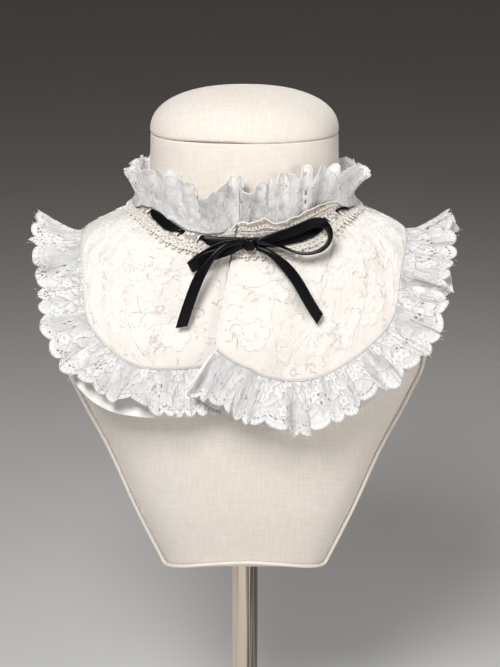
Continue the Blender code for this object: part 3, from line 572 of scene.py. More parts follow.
class Finish:
    """A material under construction: its Principled shader, and the signals that drive it."""

    def __init__(self, name, **constants):
        self.material = bpy.data.materials.new(name)
        self.material.use_nodes = True
        self.tree = self.material.node_tree
        self.shader = self.tree.nodes["Principled BSDF"]
        for socket, value in constants.items():
            self.shader.inputs[socket.replace("_", " ")].default_value = value

    def split(self, socket):
        """The three numbers of a vector or a colour."""
        node = self.tree.nodes.new("ShaderNodeSeparateXYZ")
        self.tree.links.new(socket, node.inputs[0])
        return [Signal(self.tree, number) for number in node.outputs]

    def flat_place(self):
        """Where a point lies on the flat cloth, in mm: along it, across it, and both as one vector."""
        node = self.tree.nodes.new("ShaderNodeUVMap")
        node.uv_map = "cloth_mm"
        return *self.split(node.outputs["UV"])[:2], Signal(self.tree, node.outputs["UV"])

    def object_place(self):
        return Signal(self.tree, self.tree.nodes.new("ShaderNodeTexCoord").outputs["Object"])

    def vector(self, x, y, z=0.0):
        node = self.tree.nodes.new("ShaderNodeCombineXYZ")
        for value, socket in zip((x, y, z), node.inputs):
            plug(self.tree, value, socket)
        return Signal(self.tree, node.outputs["Vector"])

    def attribute(self, name):
        node = self.tree.nodes.new("ShaderNodeAttribute")
        node.attribute_name = name
        return Signal(self.tree, node.outputs["Fac"])

    def noise(self, vector, scale, detail):
        node = self.tree.nodes.new("ShaderNodeTexNoise")
        self.tree.links.new(vector.socket, node.inputs["Vector"])
        node.inputs["Scale"].default_value = scale
        node.inputs["Detail"].default_value = detail
        return Signal(self.tree, node.outputs["Fac"])

    def drawn_out(self, u, v, scale_u, scale_v, detail=2):
        """Noise with its own scale each way, which makes streaks along the direction with the smaller one."""
        return self.noise(self.vector(u * scale_u, v * scale_v), 1.0, detail)

    def cells(self, vector, scale):
        """Cells as of net. It returns how far a point is from a cell's edge."""
        node = self.tree.nodes.new("ShaderNodeTexVoronoi")
        node.voronoi_dimensions = "2D"
        node.feature = "DISTANCE_TO_EDGE"
        self.tree.links.new(vector.socket, node.inputs["Vector"])
        node.inputs["Scale"].default_value = scale
        return Signal(self.tree, node.outputs["Distance"])

    def blossoms(self, place, spacing, reach, swing, petals):
        """Flowers scattered over the cloth, each turned its own way: how far inside one, and its ribs."""
        node = self.tree.nodes.new("ShaderNodeTexVoronoi")
        node.voronoi_dimensions = "2D"
        self.tree.links.new(place.socket, node.inputs["Vector"])
        node.inputs["Scale"].default_value = 1 / spacing
        x, y, _ = (a - b for a, b in zip(self.split(place.socket), self.split(node.outputs["Position"])))
        turn = y.math("ARCTAN2", x) + self.split(node.outputs["Color"])[0] * 6.0
        edge = (turn * petals).math("COSINE") * swing + reach
        return edge - (x * x + y * y).math("SQRT"), (turn * (3.0 * petals)).math("COSINE") * 0.5 + 0.5

    def colour(self, amount, low, high):
        """The base colour goes from low to high as amount goes from 0 to 1."""
        node = self.tree.nodes.new("ShaderNodeMix")
        node.data_type = "RGBA"
        plug(self.tree, amount, node.inputs["Factor"])
        for label, value in (("A", low), ("B", high)):
            for socket in node.inputs:
                if socket.name == label and socket.type == "RGBA":
                    socket.default_value = (*value, 1)
        out = next(socket for socket in node.outputs if socket.type == "RGBA")
        self.tree.links.new(out, self.shader.inputs["Base Color"])

    def drive(self, socket, signal):
        self.tree.links.new(signal.socket, self.shader.inputs[socket])

    def see_through(self, alpha):
        """Lets what is behind show where alpha is under 1."""
        self.drive("Alpha", alpha)
        self.material.surface_render_method = "DITHERED"

    def bump(self, height, depth, strength):
        node = self.tree.nodes.new("ShaderNodeBump")
        node.inputs["Strength"].default_value = strength
        node.inputs["Distance"].default_value = depth
        self.tree.links.new(height.socket, node.inputs["Height"])
        self.tree.links.new(node.outputs["Normal"], self.shader.inputs["Normal"])


# %% [markdown]
# ### Linen
#
# The bust is covered in a plain-woven linen. Its thread is uneven, a little thicker in places (slubs), and those
# places show as faint straight streaks both ways. The even weave between them shows only a little.


# %% Linen
THREAD_PITCH_MM = 1.5
SLUB_LONG, SLUB_WIDE = 0.06, 0.62


def make_linen():
    finish = Finish("linen", Roughness=0.88, Sheen_Weight=0.12, Sheen_Roughness=0.5, Specular_IOR_Level=0.25)
    u, v, place = finish.flat_place()
    drift = finish.noise(place, 0.05, 3) * 1.6
    weave = (u + drift).wave(THREAD_PITCH_MM) * 0.5 + (v + drift).wave(THREAD_PITCH_MM) * 0.5
    slub_up = finish.drawn_out(u, v, SLUB_WIDE, SLUB_LONG)
    slub_across = finish.drawn_out(u, v, SLUB_LONG, SLUB_WIDE)
    slubs = slub_up * 0.5 + slub_across * 0.5
    tone = (weave * 0.15 + slubs * 1.05 - 0.125).within(0.0, 1.0)
    patch = finish.noise(place, 0.012, 3)
    finish.colour(tone * 0.8 + patch * 0.2, (0.72, 0.655, 0.585), (0.925, 0.885, 0.835))
    finish.bump(weave * 0.2 + slubs, 0.32 * MM, 0.6)
    return finish.material


# %% [markdown]
# ### Lace and satin
#
# The ruffles' lace is rows of soft petals, each row lapping the one nearer the hem. Its hem is a row of scallops
# with ribs that fan out. Between the petals the ruffle has flowers, net and sheer stretches, which an alpha a
# little under 1 lets light through. Holes that a finger would feel are real holes in the mesh.


# %% Patterns in lace
SCALLOP_MM = 12.5
SCALLOP_DEPTH_MM = 5.0
LOBE_ROUNDNESS = 0.75
LOBE_WORKED_MM = 4.3
NET_BAND_MM = 3.4
PETAL_ROWS = 5
PETAL_ROW_MM = 7.4
PETAL_SHIFT_MM = 7.7
RIBS_MEET_MM = 9.0
RIBS_A_TURN = 17.0


def over(cover, upper, lower):
    """The upper signal where cover is 1, and the lower one where it is 0."""
    return upper * cover + lower * (1.0 - cover)


def ridge(distance, middle, half_width):
    """1 on a line at that distance, and 0 beside it."""
    return (distance - middle).math("ABSOLUTE").within(half_width, 0.0)


def notch_mm(along):
    """How far the hem is drawn in from a scallop's tip, in millimetres."""
    x = (along / SCALLOP_MM).math("FRACT") * 2.0 - 1.0
    return ((x * x) * -1.0 + 1.0).math("POWER", LOBE_ROUNDNESS) * -SCALLOP_DEPTH_MM + SCALLOP_DEPTH_MM


def rib_fan(along, from_hem):
    """Ribs that fan out over each scallop from a point inside it, as a wave about 0."""
    x = (along / SCALLOP_MM).math("FRACT") * SCALLOP_MM - SCALLOP_MM / 2
    return (x.math("ARCTAN2", RIBS_MEET_MM - from_hem) * RIBS_A_TURN).math("COSINE") * 0.5


def petal_rows(finish, along, from_hem, place, first_mm, tone, relief):
    """Lays rows of soft round petals on a ground. Each row laps the one nearer the hem, has a fine rim, and leaves a
    painted shadow on the ground just past its edge.
    """
    sideways = finish.noise(place, 0.060, 1) * 16.0
    lengthways = finish.noise(finish.vector(from_hem, along), 0.070, 1) * 14.0 - 7.0
    ragged = finish.noise(place, 0.35, 1) * 2.0 - 1.0
    for row in range(PETAL_ROWS):
        across = from_hem + lengthways - (first_mm + PETAL_ROW_MM * row)
        beside = along + sideways + PETAL_SHIFT_MM * row
        inside = across - notch_mm(beside) * 1.4 + ragged
        covers = inside.within(-0.15, 0.15)
        rim = ridge(inside, 0.45, 0.5)
        # Painted shadow: the ground is darkened just past each row's edge, as if the row cast it.
        under = ridge(inside, -0.7, 0.7) * 0.26
        fall = inside.within(0.0, 8.0)
        ribs = rib_fan(beside, across)
        tone = over(covers, rim * 0.24 - fall * 0.34 + ribs * 0.10 + 0.74, tone - under)
        relief = over(covers, rim * 0.25 - fall * 0.6 + ribs * 0.1 + 0.5, relief)
    return tone, relief


# %% Lace
SEE_THROUGH_GLOW = {
    "Subsurface_Weight": 0.5,
    "Subsurface_Radius": (1.0, 0.98, 0.95),
    "Subsurface_Scale": 4 * MM,
}
# Painted shade: the neck frill's colour darkens over these stretches, in mm along it, near either end at the throat.
THROAT_PAINTED_SHADE_MM = ((100.0, 30.0), (500.0, 570.0))
NECK_PETALS_MM, RUFFLE_PETALS_MM = 6.0, 9.5
FLOWER_SPACING_MM, FLOWER_RADIUS_MM = 12.5, 4.4


def make_neck_lace():
    finish = Finish(
        "neck frill lace", Roughness=0.75, Sheen_Weight=0.15, Specular_IOR_Level=0.3, **SEE_THROUGH_GLOW
    )
    along, from_hem, place = finish.flat_place()
    rim = ridge(from_hem - notch_mm(along) * 1.3, 0.5, 0.6)
    lobes = rim * 0.20 + rib_fan(along, from_hem) * 0.14 + 0.70
    tone, relief = petal_rows(finish, along, from_hem, place, NECK_PETALS_MM, lobes, rim * 0.25)
    # Painted shade: the frill's colour darkens towards the throat, over the last 30 to 100 mm at either end.
    painted_shade_start, painted_shade_end = (along.within(*shade) for shade in THROAT_PAINTED_SHADE_MM)
    tone = tone + finish.noise(place, 0.07, 2) * 0.8 - 0.36 - (painted_shade_start + painted_shade_end) * 0.10
    finish.colour(tone.within(0.0, 1.0), (0.80, 0.80, 0.812), (0.99, 0.99, 0.99))
    finish.see_through(tone * 0.10 + 0.88)
    creases = finish.drawn_out(along, from_hem, 0.16, 0.03)
    crumples = finish.drawn_out(along, from_hem, 0.11, 0.09)
    finish.bump(relief + creases * 2.0 + crumples * 3.0, MM, 0.9)
    return finish.material


def make_ruffle_lace():
    """From the hem up: a ribbed lobe, a band of net, then petals and flowers with sheer stretches between them."""
    finish = Finish("ruffle lace", Roughness=0.72, Sheen_Weight=0.12, Specular_IOR_Level=0.3)
    along, from_hem, place = finish.flat_place()
    in_lobe = from_hem - notch_mm(along)
    lobe = in_lobe.within(LOBE_WORKED_MM + 0.2, LOBE_WORKED_MM - 0.2)
    past_band = in_lobe.within(LOBE_WORKED_MM + NET_BAND_MM - 0.6, LOBE_WORKED_MM + NET_BAND_MM)
    cloudy = finish.noise(place, 0.07, 3)
    net = finish.cells(place, 0.95).within(0.04, 0.20)

    ground = cloudy * 0.4 + 0.36 - net * 0.12
    petals, relief = petal_rows(finish, along, from_hem, place, RUFFLE_PETALS_MM, ground, cloudy * 0.2)
    drift = finish.noise(place, 0.14, 1) * 2.0
    wavy = finish.vector(along + drift, from_hem - drift)
    flowers, flower_ribs = finish.blossoms(wavy, FLOWER_SPACING_MM, FLOWER_RADIUS_MM, 0.8, 5)
    flower = flowers.within(-0.2, 0.2)
    rim = ridge(flowers, 0.4, 0.45)
    fall = flowers.within(0.0, 4.5)
    petals = over(flower, rim * 0.24 - fall * 0.30 + flower_ribs * 0.14 + 0.74, petals)
    relief = over(flower, rim * 0.25 + flower_ribs * 0.12 + 0.6, relief)
    sheer = finish.drawn_out(along, from_hem, 0.040, 0.014, 1).within(0.47, 0.62) * past_band
    petals = over(sheer, petals * 0.30 + 0.08, petals)

    lobe_ribs = rib_fan(along, from_hem)
    lobe_rims = ridge(in_lobe, 0.5, 0.5).math("MAXIMUM", ridge(in_lobe, LOBE_WORKED_MM - 0.3, 0.4))
    # Painted shade: a dark line in each notch between two lobes, reaching up into the worked lobe.
    to_notch = 0.5 - ((along / SCALLOP_MM).math("FRACT") - 0.5).math("ABSOLUTE")
    between = to_notch.within(0.06, 0.0) * in_lobe.within(LOBE_WORKED_MM + 1.0, LOBE_WORKED_MM)
    band = cloudy * 0.4 + 0.34 - net * 0.20
    lobe_tone = lobe_ribs * 0.50 + lobe_rims * 0.2 + cloudy * 0.3 + 0.42
    tone = over(lobe, lobe_tone, over(past_band, petals, band)) - between * 0.6

    finish.colour((tone + cloudy * 0.36 - 0.10).within(0.0, 1.0), (0.69, 0.695, 0.71), (0.915, 0.915, 0.917))
    openings = net * (1.0 - flower) * (1.0 - lobe)
    finish.see_through(openings * -0.16 - sheer * 0.14 + 1.0)
    creases = finish.drawn_out(along, from_hem, 0.20, 0.022)
    relief = over(lobe, lobe_ribs * 0.25 + lobe_rims * 0.25, relief * past_band * (1.0 - sheer * 0.7))
    finish.bump(relief + creases * 3.0, MM, 1.0)
    return finish.material


def make_yoke_lace():
    """Worked motifs and a worked border, from the mesh's attributes, on a ground with small scrolls and ticks, and
    painted shade round each motif's edge.
    """
    finish = Finish(
        "yoke lace", Roughness=0.6, Sheen_Weight=0.15, Sheen_Roughness=0.4, Specular_IOR_Level=0.35
    )
    u, v, place = finish.flat_place()
    motif, border = finish.attribute("motif"), finish.attribute("border")
    ground = 1.0 - border
    solid = finish.object_place()
    grain = finish.noise(solid, 900.0, 1).within(0.35, 0.65)
    patchy = finish.noise(solid, 70.0, 1).within(0.46, 0.58)
    dashes = finish.noise(solid, 520.0, 0).within(0.40, 0.54) * 0.75 + 0.25
    large, small = ridge(finish.noise(solid, 62.0, 1), 0.50, 0.030), ridge(finish.noise(solid, 90.0, 1), 0.58, 0.034)
    scrolls = large.math("MAXIMUM", small) * patchy * dashes * ground
    specks, _ = finish.blossoms(place, 1.9, 0.42, 0.1, 3)
    ticks = specks.within(0.0, 0.2) * finish.noise(place, 0.16, 2).within(0.61, 0.70) * ground
    cloudy = finish.noise(place, 0.05, 3)
    # Painted shade: a grey band round the edge of each motif, as beside a raised motif.
    painted_motif_edge_shade = ridge(motif, 0.40, 0.38)
    tone = motif * 0.12 - border * 0.08 + cloudy * 0.30 + 0.53 + grain * 0.05 - scrolls * 0.32 - painted_motif_edge_shade * 0.20
    finish.colour(tone.within(0.0, 1.0) - ticks * 0.5, (0.575, 0.52, 0.495), (0.925, 0.895, 0.855))
    drawn = finish.drawn_out(u, v, 0.07, 0.018)
    finish.bump(motif * 0.35 + scrolls * 0.5 + grain * 0.06 - ticks * 0.4 + drawn * 2.2, MM, 0.9)
    finish.drive("Roughness", ground * 0.22 + 0.42)
    return finish.material


def make_beading_lace():
    """Small flowers in net beside the slots, and a thick rail along either edge."""
    finish = Finish("beading lace", Roughness=0.75, Sheen_Weight=0.1, Specular_IOR_Level=0.3)
    _, across, place = finish.flat_place()
    inside, ribs = finish.blossoms(place, 3.6, 1.5, 0.3, 4)
    worked = inside.within(-0.15, 0.15)
    cords = ridge(inside, 0.2, 0.4)
    openings = finish.cells(place, 1.0).within(0.03, 0.22) * (1.0 - worked)
    from_middle = across.math("ABSOLUTE")
    near_slots = from_middle.within(6.4, 4.6)
    rails = ridge(from_middle, 6.6, 0.9)
    tone = (worked * 0.30 + cords * 0.30 + (ribs - 0.5) * worked * 0.2) * near_slots + rails * 0.25
    tone = tone + finish.noise(place, 0.2, 3) * 0.30 + near_slots * 0.12 + 0.10 - openings * 0.20
    finish.colour(tone.within(0.0, 1.0), (0.46, 0.41, 0.355), (0.96, 0.935, 0.89))
    finish.see_through(openings * -0.30 + 1.0)
    finish.bump(worked * 0.25 + cords * 0.4 - openings * 0.2, MM, 0.9)
    return finish.material


# %% Satin, thread and metal
def make_satin(name, low, high, roughness, sheen, gloss=0.5):
    finish = Finish(name, Sheen_Weight=sheen, Sheen_Roughness=0.3, Specular_IOR_Level=gloss)
    u, v, place = finish.flat_place()
    threads = finish.drawn_out(u, v, 0.25, 5.0)
    finish.colour(finish.noise(place, 0.08, 3) * 0.6 + threads * 0.4, low, high)
    finish.drive("Roughness", threads * 0.16 + (roughness - 0.08))
    finish.bump(threads, 0.05 * MM, 0.4)
    return finish.material


def make_thread(name, low, high, roughness=0.6):
    finish = Finish(name, Roughness=roughness, Sheen_Weight=0.1, Specular_IOR_Level=0.35)
    place = finish.object_place()
    finish.colour(finish.noise(place, 900.0, 2), low, high)
    finish.bump(finish.noise(place, 2600.0, 1), 0.10 * MM, 0.4)
    return finish.material


def make_plate():
    """The base is brushed, so it shows soft reflections and fine scratches."""
    finish = Finish("brushed plate", Metallic=1.0)
    place = finish.object_place()
    smears = finish.noise(place, 28.0, 4)
    scratches = finish.noise(place, 900.0, 1)
    finish.colour(smears * 0.7 + scratches * 0.3, (0.62, 0.61, 0.60), (0.84, 0.83, 0.82))
    finish.drive("Roughness", smears * 0.10 + 0.24)
    finish.bump(scratches, 0.02 * MM, 0.3)
    return finish.material


def make_chrome():
    """Polished tube. Its colour carries painted reflections: long dark and warm streaks down its length, with a
    little smudging.
    """
    finish = Finish("chrome", Metallic=1.0)
    place = finish.object_place()
    x, y, z = finish.split(place.socket)
    streaks = finish.noise(finish.vector(x * -300.0, y * 300.0, z * 3.0), 1.0, 3)
    smears = finish.noise(place, 35.0, 4)
    # Painted reflections: dark and warm streaks in the base colour, mixed with a little smudging.
    finish.colour(streaks.within(0.42, 0.58) * 0.9 + smears * 0.1, (0.10, 0.08, 0.06), (0.88, 0.76, 0.635))
    finish.drive("Roughness", smears * 0.14 + 0.07)
    return finish.material


LINEN = make_linen()
RUFFLE_LACE = make_ruffle_lace()
NECK_LACE = make_neck_lace()
YOKE_LACE = make_yoke_lace()
BEADING_LACE = make_beading_lace()
WHITE_SATIN = make_satin("white satin", (0.84, 0.82, 0.80), (0.92, 0.91, 0.895), 0.34, 0.2)
BLACK_SATIN = make_satin("black satin", (0.003, 0.003, 0.004), (0.006, 0.006, 0.008), 0.27, 0.0, 0.15)
WHITE_THREAD = make_thread("white thread", (0.86, 0.85, 0.83), (0.94, 0.93, 0.91))
WHITE_SATIN_THREAD = make_thread("satin edge", (0.88, 0.865, 0.845), (0.93, 0.92, 0.90), 0.4)
COOL_THREAD = make_thread("lace edge thread", (0.86, 0.865, 0.87), (0.95, 0.95, 0.955))
IVORY_THREAD = make_thread("ivory thread", (0.78, 0.74, 0.68), (0.95, 0.92, 0.87))
BLACK_THREAD = make_thread("black thread", (0.010, 0.010, 0.012), (0.03, 0.03, 0.034))
CHROME = make_chrome()
BRUSHED_PLATE = make_plate()
print("finishes:", len(bpy.data.materials))

# %% [markdown]
# ## The stand and the bust
#
# The base and the pole are turned shapes, so a profile is spun round the Z axis. The bust is a loft: its level
# sections, read from the table every few millimetres, are joined up. The linen's flat place is its length round
# the bust and its length up it, or its height on the neck, where the weave stays level. The dome on top is laid
# out like a map round its pole, so that its weave doesn't bunch up.

# %% The base and the pole
BASE_RADIUS = 0.110
BASE_HEIGHT = 0.008
BASE_EDGE_ROUND = 0.003
POLE_RADIUS = 0.010
POLE_GAP = 0.3 * MM
BORE_RADIUS = POLE_RADIUS + 0.4 * MM
BORE_TOP = BUST_BOTTOM + 0.070
BORE_CUT_FROM = 0.1


def turned(name, profile, sides, material):
    """A solid of revolution from (radius, height) pairs that start and end on the axis."""
    turn = np.linspace(0, 2 * math.pi, sides + 1)
    radius, height = np.array(profile).T
    x, y = radius * np.cos(turn)[:, None], radius * np.sin(turn)[:, None]
    points = np.stack([x, y, height + 0 * x], axis=-1)
    made = cloth(name, points, grid_of(turn * BASE_RADIUS, lengths_along(points[0])), 0, material)
    merge_seams(made.data)
    made.data.set_sharp_from_angle(angle=math.radians(40))
    return made


def make_stand():
    profile = [(0, 0), (BASE_RADIUS - MM, 0), (BASE_RADIUS, MM)]
    for turn in np.linspace(0, math.pi / 2, 6):
        out, up = BASE_EDGE_ROUND * math.cos(turn), BASE_EDGE_ROUND * math.sin(turn)
        profile.append((BASE_RADIUS - BASE_EDGE_ROUND + out, BASE_HEIGHT - BASE_EDGE_ROUND + up))
    profile.append((0, BASE_HEIGHT))
    finish_piece(turned("stand_base", profile, 128, BRUSHED_PLATE), "base_plate")
    low, high = BASE_HEIGHT + POLE_GAP, BORE_TOP - POLE_GAP
    profile = [(0, low), (POLE_RADIUS, low), (POLE_RADIUS, high), (0, high)]
    finish_piece(turned("stand_pole", profile, 96, CHROME), "pole")


# %% The bust
BUST_SIDES = 160
FINE_ROWS_FROM = 0.43
ARCH_FADES_AT = 0.24
NECK_COVER_FROM = 0.462


def seamed_angles():
    """Once round the bust, starting and ending at the centre back, where its cover is sewn."""
    return np.linspace(-math.pi / 2, 1.5 * math.pi, BUST_SIDES + 1)


def close_end(mesh, rim, ruled=False):
    """Closes a tube's end: with one flat face, or with faces ruled between its front and back halves."""
    with editing(mesh) as shape:
        made = [shape.verts.new(p) for p in rim[:-1]]
        count = len(made)
        if not ruled:
            shape.faces.new(made)
            return
        for k in range(count // 2):
            corners = [made[k], made[k + 1], made[(count - k - 1) % count], made[(count - k) % count]]
            shape.faces.new(list(dict.fromkeys(corners)))


def make_bust():
    angle = seamed_angles()
    coarse = np.linspace(BUST_BOTTOM, FINE_ROWS_FROM, 61)
    heights = np.concatenate([coarse, np.linspace(FINE_ROWS_FROM + 2.5 * MM, BUST_TOP - 2 * MM, 36)])
    points = bust_points(angle[:, None], heights[None, :] + 0 * angle[:, None])
    across = points[:, 0, 0] / BUST["half_width"][0]
    fade = np.clip((ARCH_FADES_AT - heights) / (ARCH_FADES_AT - BUST_BOTTOM), 0, 1)
    points[..., 2] += BUST_ARCH * (1 - across[:, None] ** 2) * fade[None, :]
    rim = bust_points(angle, BUST_TOP)
    turned_in = [rim * (k, k, 0) + (0, 0, BUST_TOP - drop) for k, drop in ((0.998, 0.7 * MM), (0.985, 0))]
    points = np.concatenate([points, np.stack(turned_in, axis=1)], axis=1)
    round_it = lengths_along(np.swapaxes(points, 0, 1)).T
    up_it = lengths_along(points)
    on_neck = slice(heights.searchsorted(NECK_COVER_FROM), len(heights))
    up_it[:, on_neck] = heights[on_neck]
    flat = np.stack([round_it - round_it[len(angle) // 2], up_it], axis=-1)
    bust = cloth("bust_linen", points, flat, 0, LINEN)
    close_end(bust.data, points[:, 0], ruled=True)
    close_end(bust.data, points[:, -1])
    merge_seams(bust.data)
    profile = [(0, BORE_CUT_FROM), (BORE_RADIUS, BORE_CUT_FROM), (BORE_RADIUS, BORE_TOP), (0, BORE_TOP)]
    cutter = turned("bore", profile, 96, LINEN)
    cut = bust.modifiers.new("pole bore", "BOOLEAN")
    cut.operation, cut.solver, cut.object = "DIFFERENCE", "EXACT", cutter
    bust = applied(bust)
    bpy.data.objects.remove(cutter)
    bust.data.set_sharp_from_angle(angle=math.radians(50))
    finish_piece(bust, "bust_body")


# %% The cap
CAP_GAP = 0.3 * MM
CAP_RISE, CAP_ROUNDNESS, CAP_OVERHANG = 0.031, 2.25, 1.004
CREASE_AT, CREASE_WIDTH, CREASE_OPENS = -0.023, 0.024, 1.1 * MM
CREASE_FRONT = -0.02


def make_cap():
    """The padded dome on top of the neck, with its linen drawn over it and a crease open in its front seam."""
    angle = seamed_angles()
    rim = bust_points(angle, BUST_TOP)
    start = BUST_TOP + CAP_GAP
    rings = [(0, 0), (0.985, 0), (0.999, 0.6 * MM)]
    for share in np.sin(np.linspace(0, math.pi / 2, 30)):
        shrink = CAP_OVERHANG * (1 - share**CAP_ROUNDNESS) ** (1 / CAP_ROUNDNESS)
        rings.append((shrink, 1.5 * MM + CAP_RISE * share))
    points = np.stack([rim * (k, k, 0) + (0, 0, start + rise) for k, rise in rings], axis=1)
    front = points[..., 1] < CREASE_FRONT
    crease = np.exp(-(((points[..., 0] - CREASE_AT) / CREASE_WIDTH) ** 4)) * front
    points[:, 1:4, 2] += CREASE_OPENS * crease[:, 1:4] * (0.7, 1.0, 0.5)
    from_top = lengths_along(points[:, ::-1])[:, ::-1, None]
    flat = from_top * np.stack([np.cos(angle), np.sin(angle)], axis=-1)[:, None]
    cap = cloth("bust_cap_linen", points, flat, 0, LINEN)
    merge_seams(cap.data)
    finish_piece(cap, "bust_top_cap")


# %% The piping
PIPING_RADIUS = 1.3 * MM
PIPING_ANGLE = math.radians(22)
PIPING_TOP = 0.425
PIPING_STANDS_OFF = 0.5 * MM
STITCHES_FROM_PIPING = 0.042


def tube(name, route, radius, sides, material):
    """A closed round tube along a route, with its flat place for woven finishes."""
    forward = unit(np.gradient(route, axis=0))
    out = unit(np.cross(np.cross(forward, route * (1, 1, 0)), forward))
    beside = np.cross(forward, out)
    turn = np.linspace(0, 2 * math.pi, sides + 1)
    ring = np.cos(turn)[None, :, None] * out[:, None] + np.sin(turn)[None, :, None] * beside[:, None]
    points = route[:, None] + radius * ring
    points = np.concatenate([route[:1, None] + 0 * ring[:1], points, route[-1:, None] + 0 * ring[:1]])
    along = lengths_along(route)
    made = cloth(name, points, grid_of([0, *along, along[-1]], turn * radius), 0, material)
    merge_seams(made.data)
    return made


def make_piping():
    """The covered cord down both front seams of the bust and along its front hem, and stitches beside it."""
    stand_off = PIPING_RADIUS + PIPING_STANDS_OFF
    down = np.linspace(PIPING_TOP, BUST_BOTTOM + 4 * MM, 70)
    side = off_bust(PIPING_ANGLE, down, stand_off)
    hem = off_bust(np.linspace(PIPING_ANGLE, math.pi - PIPING_ANGLE, 72)[1:-1], BUST_BOTTOM + 2 * MM, stand_off)
    hem[:, 2] += BUST_ARCH * (1 - (hem[:, 0] / BUST["half_width"][0]) ** 2)
    route = np.concatenate([side, hem, (side * (-1, 1, 1))[::-1]])
    finish_piece(tube("bust_piping_cord", route, PIPING_RADIUS, 12, LINEN), "bust_piping")
    turn = PIPING_ANGLE + STITCHES_FROM_PIPING
    lines = [off_bust(at, down, 0.15 * MM) for at in (turn, math.pi - turn)]
    stitches("bust_seam_stitches", lines, 3.4 * MM, 2.4 * MM, 0.45 * MM, IVORY_THREAD)


make_stand()
make_bust()
make_cap()
make_piping()

# %% [markdown]
# ## The yoke
#
# The yoke is a shaped collar in three pieces, sewn at the shoulders: corded lace laid over white satin. Its outer
# edge is a table of angles and heights, and each column of its grid runs from the neckline down to that edge. It
# lies close at the neck and stands off a little at its edge, over the ruffles' seam. The left front laps over the
# right one.

# %% The yoke's edge
EDGE_COLUMNS = ("angle", "height", "lace_width", "lace_lift", "satin_width", "satin_lift")
EDGE_ROWS = (
    (91.0, 0.3690, 0.032, 8, 0.032, 2),
    (96.4, 0.3687, 0.034, 20, 0.035, 5),
    (103.1, 0.3666, 0.034, 38, 0.035, 12),
    (110.6, 0.3659, 0.034, 60, 0.0355, 25),
    (115.4, 0.3672, 0.034, 66, 0.037, 28),
    (120.9, 0.3715, 0.034, 66, 0.038, 29),
    (126.0, 0.3779, 0.034, 58, 0.036, 28),
    (132.5, 0.3870, 0.034, 42, 0.033, 21),
    (137.9, 0.3960, 0.034, 34, 0.032, 16),
    (141.5, 0.4080, 0.034, 32, 0.032, 14),
    (146.0, 0.4220, 0.034, 36, 0.032, 18),
    (152.3, 0.4315, 0.035, 46, 0.032, 24),
    (163.7, 0.4400, 0.037, 64, 0.033, 30),
    (180.0, 0.4440, 0.038, 77, 0.034, 34),
    (196.3, 0.4400, 0.037, 64, 0.034, 30),
    (207.7, 0.4315, 0.035, 46, 0.034, 24),
    (216.0, 0.4180, 0.035, 40, 0.034, 20),
    (222.0, 0.4040, 0.035, 38, 0.035, 18),
    (229.0, 0.3880, 0.035, 38, 0.035, 18),
    (238.0, 0.3750, 0.035, 36, 0.036, 16),
    (248.0, 0.3660, 0.035, 34, 0.036, 14),
    (259.0, 0.3620, 0.035, 32, 0.036, 12),
    (270.0, 0.3610, 0.035, 32, 0.036, 12),
    (281.0, 0.3620, 0.035, 32, 0.036, 12),
    (292.0, 0.3660, 0.035, 34, 0.036, 14),
    (302.0, 0.3750, 0.035, 36, 0.036, 16),
    (311.0, 0.3880, 0.035, 38, 0.035, 18),
    (318.0, 0.4040, 0.035, 38, 0.035, 18),
    (324.0, 0.4180, 0.035, 40, 0.034, 20),
    (332.3, 0.4315, 0.035, 46, 0.034, 24),
    (343.7, 0.4400, 0.037, 63, 0.034, 30),
    (360.0, 0.4440, 0.038, 74, 0.035, 34),
    (376.3, 0.4410, 0.037, 61, 0.036, 30),
    (388.0, 0.4345, 0.035, 44, 0.041, 26),
    (396.5, 0.4247, 0.035, 34, 0.045, 22),
    (402.0, 0.4102, 0.036, 30, 0.036, 14),
    (407.5, 0.3960, 0.036, 36, 0.032, 16),
    (412.6, 0.3879, 0.035, 44, 0.032, 20),
    (417.0, 0.3821, 0.034, 48, 0.033, 24),
    (421.5, 0.3758, 0.034, 50, 0.034, 24),
    (425.7, 0.3703, 0.034, 50, 0.034, 22),
    (430.7, 0.3640, 0.034, 46, 0.034, 18),
    (435.6, 0.3597, 0.036, 36, 0.034, 14),
    (440.5, 0.3579, 0.039, 32, 0.034, 12),
    (443.9, 0.3591, 0.037, 34, 0.035, 14),
    (447.4, 0.3629, 0.036, 36, 0.036, 16),
    (449.8, 0.3701, 0.036, 38, 0.036, 18),
    (452.0, 0.3770, 0.036, 38, 0.036, 18),
    (454.0, 0.3833, 0.036, 38, 0.035, 18),
)
RIGHT_FRONT_CENTRE = -0.0092
LEFT_FRONT_CENTRE = -0.0050
PANEL_THICKNESS = 0.0014
PANEL_AT_NECK = 0.0010
PANEL_AT_EDGE = 0.0058
LAP_RAISE = 0.0054
LAP_START = (0.13, 0.26)
LAP_LENGTH = (0.030, 0.055)
EVENED_OVER = 0.007
YOKE_STEP = 1.6 * MM
YOKE_ROWS = 58


def evened(vectors, at):
    """Directions averaged with those nearby, so that what follows them neither bunches up nor splays out."""
    step = at[1] - at[0]
    reach = int(round(4 * EVENED_OVER / step))
    weights = np.exp(-0.5 * ((np.arange(-reach, reach + 1) * step) / EVENED_OVER) ** 2)
    inside = np.convolve(np.ones(len(at)), weights, mode="same")
    return unit(np.stack([np.convolve(v, weights, mode="same") / inside for v in vectors.T], axis=1))


